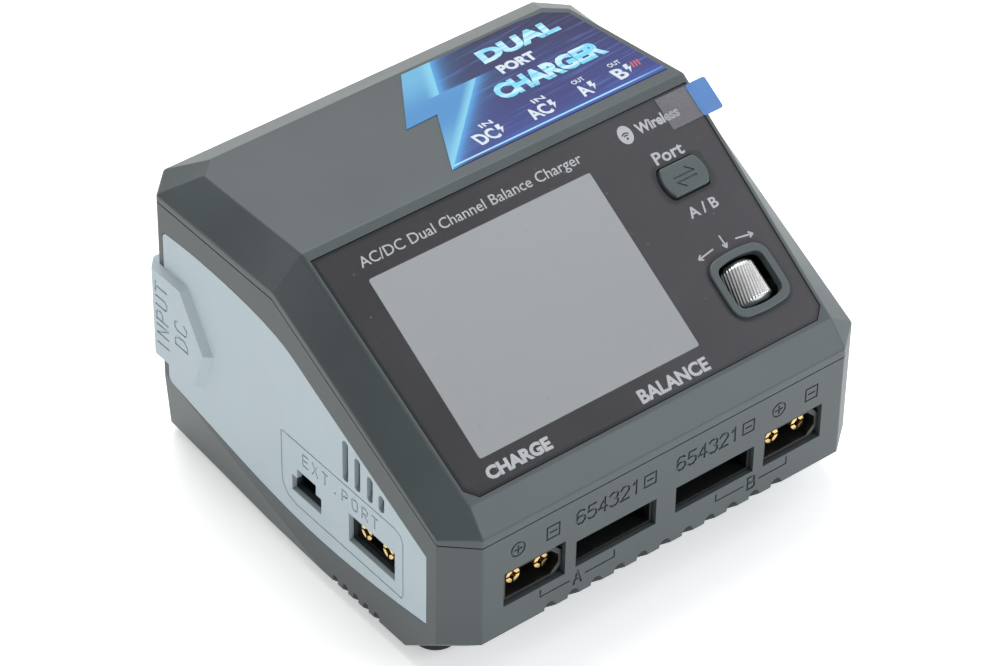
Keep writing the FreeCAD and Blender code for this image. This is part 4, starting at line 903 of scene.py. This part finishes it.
# %% White room
room = bpy.data.worlds.new("white_room")
room.use_nodes = True
walls = Bench(room.node_tree)
way = walls.node("ShaderNodeTexCoord")
towards = walls.node("ShaderNodeVectorMath", {"operation": "DOT_PRODUCT"}, {0: way, 1: (0.55, 0.1, 0.83)}, 1)
glow = 0.08 + towards.ramp(-0.5, 0.9) * 0.5
background = room.node_tree.nodes["Background"]
background.inputs[0].default_value = (1, 1, 1, 1)
room.node_tree.links.new(glow.socket, background.inputs[1])
bpy.context.scene.world = room
bpy.context.scene.view_settings.view_transform = "Standard"
print("room", room.name)

# %% Lights


def soft_light(name, place, aim, size, power):
    data = bpy.data.lights.new(name, "AREA")
    data.shape, data.size, data.energy = "DISK", size, power
    o = bpy.data.objects.new(name, data)
    o.location = place
    o.rotation_mode = "QUATERNION"
    o.rotation_quaternion = (Vector(aim) - Vector(place)).to_track_quat("-Z", "Y")
    bpy.context.scene.collection.objects.link(o)
    return o


soft_light("overhead", (0.2, 0.6, 1.2), (0, 0, 0.04), 1.1, 12)
soft_light("key_right", (1.1, -0.1, 0.75), (0, 0, 0.05), 0.8, 1.8)
soft_light("front_right", (0.62, -0.95, 0.6), (0, 0, 0.04), 0.5, 4.6).data.color = (0.86, 0.93, 1.0)

# %% Camera
TURN, RISE, ROLL = math.radians(-39.26), math.radians(39.86), math.radians(1.01)
DISTANCE, LENS = 875.2, 151.14
AIM, SHIFT_RIGHT, SHIFT_UP = Vector((0, -2.40, 41.81)), -2.72, -4.93
back = Vector((math.sin(TURN) * math.cos(RISE), -math.cos(TURN) * math.cos(RISE), math.sin(RISE)))
right = Vector((math.cos(TURN), math.sin(TURN), 0))
rise = back.cross(right)
right, rise = (math.cos(ROLL) * right + math.sin(ROLL) * rise, math.cos(ROLL) * rise - math.sin(ROLL) * right)
eye = AIM + back * DISTANCE + right * SHIFT_RIGHT + rise * SHIFT_UP
lens = bpy.data.cameras.new("camera")
lens.sensor_width, lens.lens, lens.clip_start, lens.clip_end = 36, LENS, 0.01, 20
camera = bpy.data.objects.new("camera", lens)
camera.matrix_world = Matrix.Translation(eye * MM) @ Matrix((right, rise, back)).transposed().to_4x4()
bpy.context.scene.collection.objects.link(camera)
bpy.context.scene.camera = camera
print("camera at mm", [round(v, 1) for v in eye])

# %% Measure and finish
bpy.data.collections.remove(scratch)
bpy.context.view_layer.update()
low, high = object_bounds()
print("visual size mm", [round(v / MM, 2) for v in high - low])
